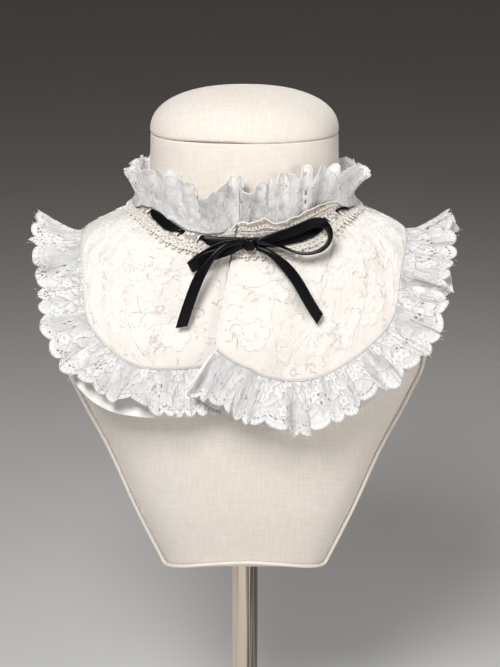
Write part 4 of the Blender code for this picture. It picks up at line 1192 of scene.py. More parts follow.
class Edge:
    """The yoke's outer edge at even steps: its angles, heights and places, and the directions there."""

    def __init__(self, spacing):
        table = columns(EDGE_COLUMNS, EDGE_ROWS)
        angles, heights = np.radians(table["angle"]), np.array(table["height"])
        known = lengths_along(bust_points(angles, heights))
        fine = np.linspace(0, known[-1], 3000)
        fine_angles = smooth(fine, known, angles)
        along = lengths_along(bust_points(fine_angles, smooth(fine, known, heights)))
        self.length = along[-1]
        self.at = np.linspace(0, self.length, round(self.length / spacing) + 1)
        place = np.interp(self.at, along, fine)
        self.angle, self.height = smooth(place, known, angles), smooth(place, known, heights)
        self.table = {name: smooth(place, known, table[name]) for name in EDGE_COLUMNS[2:]}
        self.tips = np.interp((math.pi, 2 * math.pi), np.interp(self.at, along, fine_angles), self.at)
        self.points = bust_points(self.angle, self.height)
        self.normal = evened(bust_normals(self.points), self.at)
        self.forward = evened(unit(np.gradient(self.points, axis=0)), self.at)
        self.outward = unit(np.cross(self.normal, self.forward))
        self.lap = LAP_RAISE * (1 - smoothstep(self.length - self.at, *LAP_LENGTH))


def neck_angles_of(edge):
    """Where on the neckline each column starts. The fronts and the back each share out their own part."""
    front_start = angle_at(RIGHT_FRONT_CENTRE, NECK_HEIGHT_FRONT)
    front_end = angle_at(LEFT_FRONT_CENTRE, NECK_HEIGHT_FRONT) + 2 * math.pi
    stops = [0, *edge.tips, edge.length]
    return np.interp(edge.at, stops, [front_start, math.pi, 2 * math.pi, front_end])


def yoke_paths(edge, rows):
    """For each column, the angles and heights of its rows from the neckline to the edge."""
    neck = neck_angles_of(edge)
    share = np.linspace(0, 1, 60)
    start = neck_height(neck)
    heights = start[:, None] + (edge.height - start)[:, None] * share
    turn = share[None, :] * np.ones((len(neck), 1))
    for _ in range(3):
        angles = neck[:, None] + (edge.angle - neck)[:, None] * turn
        along = lengths_along(bust_points(angles, heights))
        turn = along / along[:, -1:]
    angles = np.array([np.interp(rows, t, a) for t, a in zip(turn, angles)])
    heights = np.array([np.interp(rows, t, h) for t, h in zip(turn, heights)])
    return angles, heights


def make_yoke_surface():
    """The yoke's middle surface, read by length along its edge and share from neckline to edge."""
    edge = Edge(YOKE_STEP)
    rows = np.linspace(0, 1, YOKE_ROWS)
    angles, heights = yoke_paths(edge, rows)
    distance = PANEL_AT_NECK + (PANEL_AT_EDGE - PANEL_AT_NECK) * rows[None, :] ** 1.6
    distance = distance + edge.lap[:, None] * smoothstep(rows, *LAP_START)[None, :]
    middle = off_bust(angles, heights, distance + PANEL_THICKNESS / 2)
    surface = Surface(edge.at, rows, middle)
    if (surface.normals * bust_normals(bust_points(angles, heights))).sum() < 0:
        surface.normals = -surface.normals
    return edge, surface


EDGE, YOKE = make_yoke_surface()
YOKE_WIDTH = lengths_along(YOKE.points)[:, -1]
print(f"yoke: {EDGE.length:.3f} m round its edge, {YOKE_WIDTH.min():.3f} to {YOKE_WIDTH.max():.3f} m wide")

# %% [markdown]
# ### The yoke's lace
#
# The lace's design is an ordinary flower and leaf vine, drawn here by formula. Five-petalled flowers stand by turns
# above and below a wavy stem, with leaves between them. Each motif is a closed line in its own small plane, laid
# on the yoke where it belongs. The lines become cords. The same formulas say where the cloth is worked and where
# it is plain ground, which the material reads as an attribute.

# %% Motifs
FLOWER_PETALS = 5
VINES = ((0.69, 0.085, 10.5 * MM, 15 * MM), (0.31, 0.075, 8.0 * MM, 12 * MM))
VINE_PITCH = 0.050
CORD_RADIUS = 0.36 * MM
LEAF_WIDTH = 0.46
LEAVES_BY_FLOWER = ((-0.42, 0.5), (-0.20, 1.0), (0.04, 1.9), (0.24, math.pi - 0.9), (0.44, math.pi - 0.4))


def petal_edge(angle, size):
    """How far a flower's outline is from its middle, in each direction."""
    return size * (0.66 + 0.34 * np.abs(np.cos(FLOWER_PETALS / 2 * angle)) ** 0.55)


def ring(radius_of, count):
    angle = np.linspace(0, 2 * math.pi, count, endpoint=False)
    radius = radius_of(angle)
    return np.stack([radius * np.cos(angle), radius * np.sin(angle)], axis=1)


def leaf_half_width(share, size):
    """Half the width of a leaf at a share of its length."""
    return LEAF_WIDTH / 2 * size * np.sin(math.pi * share**0.8)


def leaf_outline(size):
    share = np.linspace(0, 1, 11)
    side = np.stack([size * share, leaf_half_width(share, size)], axis=1)
    return np.concatenate([side, (side * (1, -1))[::-1][1:-1]])


class Motif:
    """One flower or leaf: where it is on the yoke, how it is turned, and how large it is."""

    def __init__(self, kind, along, share, turn, size):
        self.kind, self.along, self.share, self.turn, self.size = kind, along, share, turn, size
        self.per_metre_along = self.per_metre(2 * MM, 0)
        self.per_metre_across = self.per_metre(0, 0.02)

    def per_metre(self, step_along, step_share):
        """How much the place on the yoke changes over a metre, for steps along it or across it."""
        onward = YOKE.at(self.along + step_along, self.share + step_share)
        behind = YOKE.at(self.along - step_along, self.share - step_share)
        return 1 / (float(np.linalg.norm(onward - behind)) / (2 * (step_along + step_share)) + 1e-9)

    def to_yoke(self, points):
        """Lays points of the motif's own plane on the yoke, as (length along, share across)."""
        c, s = math.cos(self.turn), math.sin(self.turn)
        x, y = points[:, 0] * c - points[:, 1] * s, points[:, 0] * s + points[:, 1] * c
        return self.along + x * self.per_metre_along, self.share + y * self.per_metre_across

    def from_yoke(self, along, share):
        x = (along - self.along) / self.per_metre_along
        y = (share - self.share) / self.per_metre_across
        c, s = math.cos(-self.turn), math.sin(-self.turn)
        return x * c - y * s, x * s + y * c

    def lines(self):
        """Closed outlines and open veins."""
        size = self.size
        if self.kind == "flower":
            closed = [ring(lambda a: petal_edge(a, size), 50), ring(lambda a: 0.20 * size + 0 * a, 12)]
            open_lines = []
            for k in range(FLOWER_PETALS):
                a = 2 * math.pi * (k + 0.5) / FLOWER_PETALS
                reach = np.linspace(0.30, 0.60, 4)[:, None] * size
                open_lines.append(reach * (math.cos(a), math.sin(a)))
                for side in (-0.16, 0.16):
                    b = 2 * math.pi * k / FLOWER_PETALS + side
                    reach = np.linspace(0.34, 0.66, 4)[:, None] * size
                    open_lines.append(reach * (math.cos(b), math.sin(b)))
            return closed, open_lines
        vein = np.linspace(0.0, 0.82, 6)[:, None] * (size, 0.0)
        sides = []
        for k in (0.28, 0.48, 0.66):
            for side in (-1, 1):
                start, reach = k * size, 0.13 * size
                sides.append(np.array([(start, 0.0), (start + reach * 0.8, side * reach)]))
        return [leaf_outline(size)], [vein, *sides]

    def inside(self, along, share):
        """1 where the cloth is worked, and 0 on the ground outside."""
        x, y = self.from_yoke(along, share)
        if self.kind == "flower":
            radius = np.hypot(x, y)
            worked = petal_edge(np.arctan2(y, x), self.size) - radius
            eye = smoothstep(0.24 * self.size - radius, 0, MM)
            return smoothstep(worked, -0.5 * MM, 0.9 * MM) * (1 - 0.5 * eye)
        half = leaf_half_width(np.clip(x / self.size, 0, 1), self.size)
        return smoothstep(half - np.abs(y), -0.4 * MM, 0.8 * MM) * (x > 0) * (x < self.size)


def vine_share(middle, swing, along, phase):
    return middle + swing * np.sin(2 * math.pi * along / VINE_PITCH + phase)


def lay_vine(middle, swing, flower_size, leaf_size, phase, first, last, seed):
    """A wavy stem from first to last along the yoke, with its flowers and leaves."""
    varied = np.random.default_rng(seed)
    motifs = []
    along = np.arange(first, last, 1.5 * MM)
    stems = [(along, vine_share(middle, swing, along, phase))]
    turns = np.arange(math.ceil(2 * first / VINE_PITCH), int(2 * last / VINE_PITCH))
    for k in turns:
        place = (k + 0.5 - phase / math.pi) * VINE_PITCH / 2
        if not first + 9 * MM < place < last - 9 * MM:
            continue
        side = 1 if math.sin(2 * math.pi * place / VINE_PITCH + phase) > 0 else -1
        centre = middle - side * swing * 0.75
        size = flower_size * varied.uniform(0.9, 1.1)
        motifs.append(Motif("flower", place, centre, varied.uniform(0, 2), size))
        for offset, lean in LEAVES_BY_FLOWER:
            root = place + offset * VINE_PITCH / 2
            turn = side * lean + varied.uniform(-0.25, 0.25)
            size = leaf_size * varied.uniform(0.85, 1.15)
            motifs.append(Motif("leaf", root, vine_share(middle, swing, root, phase), turn, size))
    return motifs, stems


def lay_lace():
    motifs, stems = [], []
    cuts = [0, *EDGE.tips, EDGE.length]
    for k, (first, last) in enumerate(zip(cuts, cuts[1:])):
        for row, vine in enumerate(VINES):
            found = lay_vine(*vine, row * math.pi / 2, first + 3 * MM, last - 3 * MM, 10 * k + row)
            motifs += found[0]
            stems += found[1]
    return motifs, stems


MOTIFS, STEMS = lay_lace()
print("motifs on the yoke:", len(MOTIFS))

# %% The yoke's panels
BORDER_WIDTH = 3.4 * MM
END_BORDER = 1.9
YOKE_PIECES = ("yoke_front_right", "yoke_back", "yoke_front_left")
SEAM_GAP = 1.0 * MM


def splits_of(edge):
    """The grid's columns at which each of the three pieces starts and ends."""
    tips = [int(np.argmin(np.abs(edge.at - tip))) for tip in edge.tips]
    return list(zip([0, *tips], [*tips, len(edge.at) - 1]))


def cut_free(grid, first, last):
    """The columns of a grid from first to last, drawn back a little from a neighbour at either end."""
    piece = grid[first : last + 1].copy()
    if first:
        piece[0] += unit(piece[1] - piece[0]) * SEAM_GAP / 4
    if last < len(grid) - 1:
        piece[-1] += unit(piece[-2] - piece[-1]) * SEAM_GAP / 4
    return piece


def add_attribute(mesh, name, values):
    layer = mesh.attributes.new(name, "FLOAT", "POINT")
    layer.data.foreach_set("value", np.asarray(values, np.float32).reshape(-1))


def make_yoke():
    along = EDGE.at[:, None] + 0 * YOKE.across
    share = YOKE.across[None, :] + 0 * EDGE.at[:, None]
    motif = np.zeros(along.shape)
    for one in MOTIFS:
        reach = one.size * 1.3
        near = np.abs(EDGE.at - one.along) < reach * one.per_metre_along
        motif[near] = np.maximum(motif[near], one.inside(along[near], share[near]))
    width = YOKE_WIDTH[:, None]
    to_edge = (1 - share) * width
    to_end = np.minimum(along, EDGE.length - along)
    border = 1 - smoothstep(np.minimum(to_edge, to_end * END_BORDER), BORDER_WIDTH - 0.5 * MM, BORDER_WIDTH)
    motif = motif * (1 - border)
    relief = 0.22 * MM * motif + 0.12 * MM * border
    points = YOKE.points + YOKE.normals * relief[..., None]
    for name, (first, last) in zip(YOKE_PIECES, splits_of(EDGE)):
        flat = np.stack([along, to_edge], axis=-1)[first : last + 1]
        mesh_points = cut_free(points, first, last)
        panel = cloth(name + "_lace", mesh_points, flat, 0, YOKE_LACE)
        add_attribute(panel.data, "motif", motif[first : last + 1])
        add_attribute(panel.data, "border", border[first : last + 1])
        panel = finish_piece(thickened(panel, PANEL_THICKNESS - 0.3 * MM), name)
        size = (EDGE.at[last] - EDGE.at[first], float(YOKE_WIDTH[first : last + 1].max()))


def make_yoke_cords():
    height = PANEL_THICKNESS / 2 + 0.10 * MM
    closed, open_lines = [], []
    for one in MOTIFS:
        for lines, found in zip(one.lines(), (closed, open_lines)):
            for points in lines:
                along, share = one.to_yoke(points)
                if share.max() < 0.955 and share.min() > 0.06:
                    found.append(YOKE.at(along, share, height))
    open_lines += [YOKE.at(along, share, height) for along, share in STEMS]
    cord("yoke_motif_outlines", closed, CORD_RADIUS, WHITE_THREAD, 5, closed=True)
    cord("yoke_stems_and_veins", open_lines, CORD_RADIUS * 0.85, WHITE_THREAD, 5)


def make_yoke_edges():
    """The rolled edge of the satin, and the fine stitches that hold the lace a little way inside it."""
    rolls, sewn = [], []
    for first, last in splits_of(EDGE):
        at = np.linspace(EDGE.at[first] + 0.4 * MM, EDGE.at[last] - 0.4 * MM, 3 * (last - first))
        rolls.append(YOKE.at(at, 1.0))
        sewn.append(YOKE.at(at, 1 - BORDER_WIDTH / np.interp(at, EDGE.at, YOKE_WIDTH), PANEL_THICKNESS / 2))
    for at in (0.0, EDGE.length):
        share = np.linspace(0.03, 1, 90)
        inward = BORDER_WIDTH / END_BORDER * (1 if at == 0 else -1)
        rolls.append(YOKE.at(at, share))
        sewn.append(YOKE.at(at + inward, share[:-4], PANEL_THICKNESS / 2))
    cord("yoke_rolled_edge", rolls, PANEL_THICKNESS / 2, WHITE_SATIN_THREAD, 10)
    stitches("yoke_edge_stitches", sewn, 2.6 * MM, 1.7 * MM, 0.34 * MM, WHITE_THREAD)


make_yoke()
make_yoke_cords()
make_yoke_edges()

# %% [markdown]
# ## The ruffles
#
# A ruffle is a long strip gathered onto a shorter edge. The strip leaves the seam along the bust, turns up by an
# angle called its lift, and waves more and more towards its hem. The wave is a sine whose folds have uneven widths
# and depths. Every other fold is shallower, and the folds' ridges bulge past their own sides as real gathers do.
# The smooth shape of the strip comes first. Then the lace is laid on it: each scallop is a little grid of its own,
# with a rounded lobe, fanned ribs and rows of holes.

# %% The folds
SATIN_ROOT = 0.0033
LACE_ROOT = 0.0065
LACE_FULLNESS = 1.80
LACE_WAVE = 0.0270
LACE_WAVE_HEIGHT = 0.0085
FOLDS_UNEVEN = 0.16
FOLD_DEPTHS = (0.75, 1.25, 0.35)
GATHERS, HEM_CURL = 1.3 * MM, 1.8 * MM
SATIN_WAVE_SHARE = 0.30
ROOT_TUCK = 0.003
LAPPED_RUFFLE = (0.032, 0.070)
FOLD_LEAN = 0.0020
FOLD_BULGE = 0.0034
RIDGE_WIDEN = 0.0018
FOLD_SHARPEN = 0.20
RUFFLE_THICKNESS = 0.5 * MM
STRIP_ROWS = np.linspace(0, 1, 40)
WAVE_SHARES = ((0, 0.10, 0.48, 1), (0, 0.10, 0.60, 1))
TURN_SHARES = ((0, 0.05, 0.29, 0.74, 1), (0.2, 0.35, 0.85, 1.0, 1.05))


def fold_phase(at, wave, seed, unevenness):
    """The folds' phase along a gathered edge, with uneven spacing that is the same at each run."""
    count = round(at[-1] / wave)
    uneven = np.random.default_rng(seed).uniform(-unevenness, unevenness, count + 1)
    uneven[[0, -1]] = 0
    stops = (np.arange(count + 1) + uneven) * at[-1] / count
    return 2 * math.pi * np.interp(at, stops, np.arange(count + 1))


def fold_strength(at, wave, seed, low, high, every_other=1.0):
    """How deep each fold is, from low to high. Every other fold may be shallower."""
    count = round(at[-1] / wave) + 1
    values = np.random.default_rng(seed).uniform(low, high, count)
    values[1::2] *= every_other
    return smooth(at, np.linspace(0, at[-1], count), values)


def wave_of(phase, strength, tall, share, bulge, widen):
    """How far a fold moves off its strip and along it, where the strip has this share of its full wave."""
    off = (np.sin(phase) + FOLD_SHARPEN * np.sin(2 * phase + 0.8)) * strength * tall * share
    along = FOLD_LEAN * np.sin(phase) * share
    along = along - (bulge * np.sin(2 * phase) + widen * np.cos(phase)) * strength * share**1.5
    return off, along


def wander(at, spacing, seed):
    """A value that drifts unevenly between -1 and 1 along the strip."""
    count = max(4, round(at[-1] / spacing))
    values = np.random.default_rng(seed).uniform(-1, 1, count)
    return smooth(at, np.linspace(0, at[-1], count), values)


def ruffle_surface(edge, kind):
    """The smooth strip of one ruffle, all round the yoke."""
    lace = kind == "lace"
    lift, width = np.radians(edge.table[kind + "_lift"]), edge.table[kind + "_width"]
    phase = fold_phase(edge.at, LACE_WAVE, 3, FOLDS_UNEVEN)
    strength = fold_strength(edge.at, LACE_WAVE, 5, *FOLD_DEPTHS)
    strength = strength * (0.06 + 0.94 * smoothstep(edge.at, *LAPPED_RUFFLE))
    tuck = -SEAM_GAP if lace else ROOT_TUCK
    stands_off = ((LACE_ROOT if lace else SATIN_ROOT) + edge.lap)[:, None]
    place = edge.points + edge.normal * stands_off - edge.outward * tuck
    width = width + max(tuck, 0)
    share_of = 1 if lace else SATIN_WAVE_SHARE
    tall = LACE_WAVE_HEIGHT * share_of
    across = edge.normal * np.cos(lift)[:, None] - edge.outward * np.sin(lift)[:, None]
    gathers = wander(edge.at, 6.0 * MM, 21) + 0.7 * wander(edge.at, 3.6 * MM, 22)
    curl = wander(edge.at, 15 * MM, 23)
    grid = []
    for before, share in zip([0.0, *STRIP_ROWS], STRIP_ROWS):
        turn = smooth((share + before) / 2, *TURN_SHARES)
        onward = edge.outward * np.cos(lift * turn)[:, None] + edge.normal * np.sin(lift * turn)[:, None]
        place = place + onward * (width * (share - before))[:, None]
        wave = smooth(share, *WAVE_SHARES)
        off, along = wave_of(phase, strength, tall, wave, FOLD_BULGE * share_of, RIDGE_WIDEN * share_of)
        if lace:
            gathered = smoothstep(share, 0.0, 0.15) * (1 - 0.6 * smoothstep(share, 0.4, 1.0))
            off = off + gathers * GATHERS * gathered
            off = off + curl * HEM_CURL * smoothstep(share, 0.5, 1.0)
        grid.append(place + across * off[:, None] + edge.forward * along[:, None])
    return Surface(edge.at, STRIP_ROWS, np.stack(grid, axis=1))


# %% One scallop of lace, and the strip made of them
SCALLOP = SCALLOP_MM * MM
SCALLOP_DEPTH = SCALLOP_DEPTH_MM * MM
SCALLOP_COLUMNS = np.array(
    (0, 0.03, 0.09, 0.155, 0.22, 0.285, 0.35, 0.42, 0.50, 0.58, 0.65, 0.715, 0.78, 0.845, 0.91, 0.97)
)
HEM_ROWS = np.array((0, 0.6, 1.8, 3.2, 4.6, 5.8, 6.3, 7.4, 8.8, 10.8, 13.0)) * MM
REST_SHARES = np.array((0.09, 0.18, 0.27, 0.36, 0.45, 0.54, 0.63, 0.72, 0.81, 0.91, 1.0))
NET_ROWS = (
    (4, ((1, 3), (4, 6), (7, 9), (10, 12), (13, 15)), 0.55),
    (6, ((2, 4), (5, 7), (9, 11), (12, 14)), 0.40),
)
LARGE_HOLES = ((3, 5, 12), (6, 8, 11), (6, 8, 13), (9, 11, 12), (11, 13, 14), (4, 6, 15))
LARGE_HOLE_LOBES = 0.45
NET_HOLE_CHANCE, LARGE_HOLE_CHANCE = 0.7, 0.5
HOLE_ROUNDING = 0.30
RIB_RELIEF = 0.20 * MM
LOBE_DOME = 0.8 * MM
LOBE_TILT = 1.5 * MM
NOTCH_FADES = (7.0 * MM, 13.0 * MM)


def scallop_notch(f):
    """How far the hem is drawn in from a scallop's tip: a round lobe between two sharp notches."""
    return SCALLOP_DEPTH * (1 - np.maximum(0, 1 - (2 * f - 1) ** 2) ** LOBE_ROUNDNESS)


def holes_of(lobes, seed):
    """The blocks of cells that are open, lobe by lobe: first and last column, first and last row."""
    chance = np.random.default_rng(seed)
    blocks = []
    for start in np.arange(lobes) * len(SCALLOP_COLUMNS):
        for row, spans, share in NET_ROWS:
            if chance.random() < share:
                kept = [span for span in spans if chance.random() < NET_HOLE_CHANCE]
                blocks += [(start + a, start + b, row, row + 1) for a, b in kept]
        if chance.random() < LARGE_HOLE_LOBES:
            kept = [hole for hole in LARGE_HOLES if chance.random() < LARGE_HOLE_CHANCE]
            blocks += [(start + a, start + b, row, row + 1) for a, b, row in kept]
    return blocks


def lace_strip(name, surface, pitch, width_at, material, first, last, side=1, depth=1.0, tilt=LOBE_TILT):
    """A scalloped lace strip on a smooth surface, from its first scallop to its last."""
    lobe = np.repeat(np.arange(first, last), len(SCALLOP_COLUMNS))
    f = np.tile(SCALLOP_COLUMNS, last - first)
    lobe, f = np.append(lobe, last), np.append(f, 0.0)
    along = (lobe + f) * pitch
    width = width_at(along)
    hem = HEM_ROWS + depth * scallop_notch(f)[:, None] * (1 - smoothstep(HEM_ROWS, *NOTCH_FADES))
    rest = HEM_ROWS[-1] + REST_SHARES * (width[:, None] - HEM_ROWS[-1])
    from_hem = np.concatenate([hem, rest], axis=1)
    columns_of = along[:, None] + 0 * from_hem
    flat = np.stack([(lobe + f)[:, None] * SCALLOP + 0 * from_hem, from_hem], axis=-1)

    missing = []
    for a, b, top, bottom in holes_of(last - first, first + 50):
        missing += [(i, j) for i in range(a, b) for j in range(top, bottom)]
        middle_along, middle_hem = along[(a + b) // 2], from_hem[(a + b) // 2, [top, bottom]].mean()
        corners = np.ix_((a, b), (top, bottom))
        columns_of[corners] += HOLE_ROUNDING * (middle_along - columns_of[corners])
        from_hem[corners] += HOLE_ROUNDING * (middle_hem - from_hem[corners])
    near_hem = 1 - smoothstep(from_hem, 3.0 * MM, 5.0 * MM)
    by_turns = np.where(np.arange(len(along)) % 2, 1, -1)[:, None]
    ribs = by_turns * RIB_RELIEF * near_hem * smoothstep(from_hem, 0, MM)
    crown = (1 - (2 * f - 1) ** 2)[:, None]
    tilts = np.random.default_rng(first + 90).uniform(-1, 1, last - first + 1)[lobe - first][:, None]
    dome = LOBE_DOME * crown * (1 - smoothstep(from_hem, 2 * MM, 11 * MM))
    lean = tilt * tilts * crown * (1 - smoothstep(from_hem, 0, 8 * MM))
    points = surface.at(columns_of, 1 - from_hem / width[:, None], side * (ribs + dome + lean))
    strip = cloth(name, points, flat, RUFFLE_THICKNESS, material, missing)
    return strip, points[:, 0]


# %% The lace ruffle and the satin frill
RUFFLE_SIDES = ("right", "back", "left")
GATHER_IN_CUT = 1.5
HEM_THREAD_RADIUS = 0.24 * MM
ROLLED_HEM_RADIUS = 0.5 * MM
STRAY_COUNT = 150
STRAY_RADIUS = 0.09 * MM


def lobe_splits(edge, lobes):
    tips = [round(tip / edge.length * lobes) for tip in edge.tips]
    return list(zip([0, *tips], [*tips, lobes]))


def stray_threads(surface, length, count):
    """Short ends of thread that stick out of a cut lace hem, each with its own bend."""
    varied = np.random.default_rng(70)
    threads = []
    for _ in range(count):
        at, reach, lean = varied.uniform(0, length), varied.uniform(1.0, 3.2) * MM, varied.uniform(-0.7, 0.7)
        inner, hem = surface.at([at, at], [0.93, 0.985])
        out = unit(hem - inner)
        beside = unit(np.cross(out, varied.normal(size=3)))
        steps = np.linspace(0, 1, 5)[:, None]
        threads.append(hem + reach * (steps * out + 0.6 * lean * steps**2 * beside))
    return threads


def make_lace_ruffle():
    edge = Edge(0.6 * MM)
    surface = ruffle_surface(edge, "lace")
    lobes = round(edge.length * LACE_FULLNESS / SCALLOP)
    pitch = edge.length / lobes

    def width_at(along):
        return np.interp(along, edge.at, edge.table["lace_width"])

    hems = []
    for side, (first, last) in zip(RUFFLE_SIDES, lobe_splits(edge, lobes)):
        name = f"ruffle_lace_{side}"
        strip, hem = lace_strip(name + "_scalloped", surface, pitch, width_at, RUFFLE_LACE, first, last)
        finish_piece(strip, name)
        size = ((last - first) * pitch * GATHER_IN_CUT, float(edge.table["lace_width"].mean()))
        hems.append(hem)
    cord("ruffle_lace_hem_thread", hems, HEM_THREAD_RADIUS, COOL_THREAD, 5)
    loose = stray_threads(surface, edge.length, STRAY_COUNT)
    cord("ruffle_lace_stray_threads", loose, STRAY_RADIUS, COOL_THREAD, 4)


def make_satin_frill():
    edge = Edge(2.2 * MM)
    surface = ruffle_surface(edge, "satin")
    width = edge.table["satin_width"] + ROOT_TUCK
    flat = grid_of(edge.at, STRIP_ROWS * width[:, None])
    hems = []
    for side, (first, last) in zip(RUFFLE_SIDES, splits_of(edge)):
        name = f"ruffle_satin_{side}"
        points = cut_free(surface.points, first, last)
        frill = cloth(name + "_frill", points, flat[first : last + 1], RUFFLE_THICKNESS, WHITE_SATIN)
        finish_piece(frill, name)
        size = (edge.at[last] - edge.at[first], float(width.mean()))
        hems.append(points[:, -1])
    cord("ruffle_satin_rolled_hem", hems, ROLLED_HEM_RADIUS, WHITE_SATIN_THREAD, 8)


make_satin_frill()
make_lace_ruffle()

# %% [markdown]
# ## The neck frill
#
# The frill is a softer lace in narrower waves, sewn to the neckline. On the wearer's right and round the back its
# foot lies outside the beading lace, and on the wearer's left it goes in behind it. From there the frill stands up
# and leans out, most at the sides. Its two ends lap at the throat, the right one outermost.

# %% The neck frill
FRILL_WIDTH = 0.045
NECK_FLAT, NECK_FLAT_ROWS = 0.0100, 6
NECK_WAVE = 0.0175
NECK_WAVE_HEIGHT = 0.0046
NECK_BULGE = 0.0020
NECK_FULLNESS = 1.35
NECK_ROOT = 0.0015
NECK_LEAN_VARIES = 5
NECK_FOLDS_UNEVEN, NECK_FOLD_DEPTHS = 0.34, (0.3, 1.05)
NECK_LOBE_DEPTH, NECK_LOBE_TILT = 1.3, 3.0 * MM
NECK_TALLER, NECK_GATHERS, NECK_FLOP = 1.6 * MM, 0.9 * MM, 2.4 * MM
NECK_DRIFTS = ((4.5, 31), (14, 33), (17, 34), (24, 36))
CURLS_FROM = 0.55
FRILL_JOINS = 0.012
FOOT_ENDS_OUTSIDE = (388, 402)
FOOT_TUCKS_IN = (3.0 * MM, 15.0 * MM)
FOOT_UNDER, FOOT_CROSSES = 0.6 * MM, 9.6 * MM
FOOT_TURNS = (92, 110, 148, 160, 200, 215, 340, 352, 384, 394, 402)
FOOT_STARTS = np.array((6.0, 4.2, 4.0, -4.5, -4.5, 4.0, 4.0, -4.5, -4.0, 4.0, 4.0)) * MM
FOOT_RAGGED, FOOT_RAGGED_EVERY = 1.0 * MM, 4.5 * MM
FOOT_OUT_LOW, FOOT_OUT_HIGH, FOOT_FLARE = 7.4 * MM, 8.3 * MM, 2.0 * MM
FRILL_LAP, FRILL_LAP_OUT = 3.0 * MM, 1.4 * MM
FRILL_LAP_FADES = (4.0 * MM, 12.0 * MM)
FRILL_COLUMNS = ("turn", "width", "lean")
FRILL_ROWS = (
    (0, 27, 11),
    (25, 36, 30),
    (36, 44, 30),
    (52, 47, 24),
    (66, 49, 7),
    (80, 49, 5),
    (84, 48, 20),
    (88, 48, 26),
    (90.5, 49, 16),
    (93, 49, 5),
    (96, 48, 16),
    (101, 45, 35),
    (106, 44, 33),
    (113, 45, 11),
    (124, 43, 6),
    (140, 38, 12),
    (158, 32, 17),
    (180, 26, 9),
    (215, 30, 28),
    (270, 33, 26),
    (325, 30, 28),
    (360, 27, 11),
)
FRILL = columns(FRILL_COLUMNS, FRILL_ROWS)


def neck_ends(gap):
    """The angles at which what goes round the neckline starts and ends, that far apart at the throat."""
    middle = angle_at((RIGHT_FRONT_CENTRE + LEFT_FRONT_CENTRE) / 2, NECK_HEIGHT_FRONT)
    half = gap / 2 / float(bust_size("half_width", NECK_HEIGHT_FRONT))
    return middle + half, middle + 2 * math.pi - half


def row_of_angles(low, high, spacing, distance):
    """Angles round the neckline, evenly spaced in length at a distance off the bust, and their lengths."""
    angles = np.linspace(low, high, 721)
    along = lengths_along(off_bust(angles, neck_height(angles), distance))
    count = max(2, round(along[-1] / spacing)) + 1
    wanted = np.linspace(0, along[-1], count)
    return np.interp(wanted, along, angles), wanted


def frill_lean_and_width(angle):
    """The frill's lean away from upright and its width, from the table, all round the neck."""
    turn = np.degrees(angle) % 360
    lean, width = (smooth(turn, FRILL["turn"], FRILL[name]) for name in ("lean", "width"))
    return np.radians(lean), width * MM


def heights_above(angle, wanted):
    """The height that lies a wanted length above the neckline, measured on the bust, angle by angle."""
    levels = np.linspace(-12, 12, 25) * MM
    known = height_from_neckline(angle, -levels)
    return np.array([np.interp(want, levels, row) for want, row in zip(wanted, known)])


def frill_foot(angle, at):
    """How far the frill's foot lies outside the beading lace, from 0 to 1, and how high above the seam."""
    turn = np.degrees(angle)
    outside = (1 - smoothstep(turn, *FOOT_ENDS_OUTSIDE)) * smoothstep(at, *FOOT_TUCKS_IN)
    start = FOOT_UNDER + outside * (smooth(turn, FOOT_TURNS, FOOT_STARTS) - FOOT_UNDER)
    start = start + FOOT_RAGGED * outside * wander(at, FOOT_RAGGED_EVERY, 41)
    return outside, start + 4 * outside * (1 - outside) * (FOOT_CROSSES - start)


def frill_base(angle, at):
    """The frill's first rows, on the neck or over the beading lace, up to where it stands free."""
    outside, foot = frill_foot(angle, at)
    over_beading = FOOT_OUT_HIGH - FOOT_OUT_LOW + FOOT_FLARE * smoothstep(-foot, -3 * MM, 3 * MM)
    inside = NECK_ROOT + FRILL_LAP_OUT * (1 - smoothstep(at, *FRILL_LAP_FADES))
    rows = []
    for share in np.linspace(0, 1, NECK_FLAT_ROWS):
        height = heights_above(angle, foot + (NECK_FLAT - foot) * share)
        out = FOOT_OUT_LOW + over_beading * share
        rows.append(off_bust(angle, height, inside + outside * (out - inside)))
    return rows


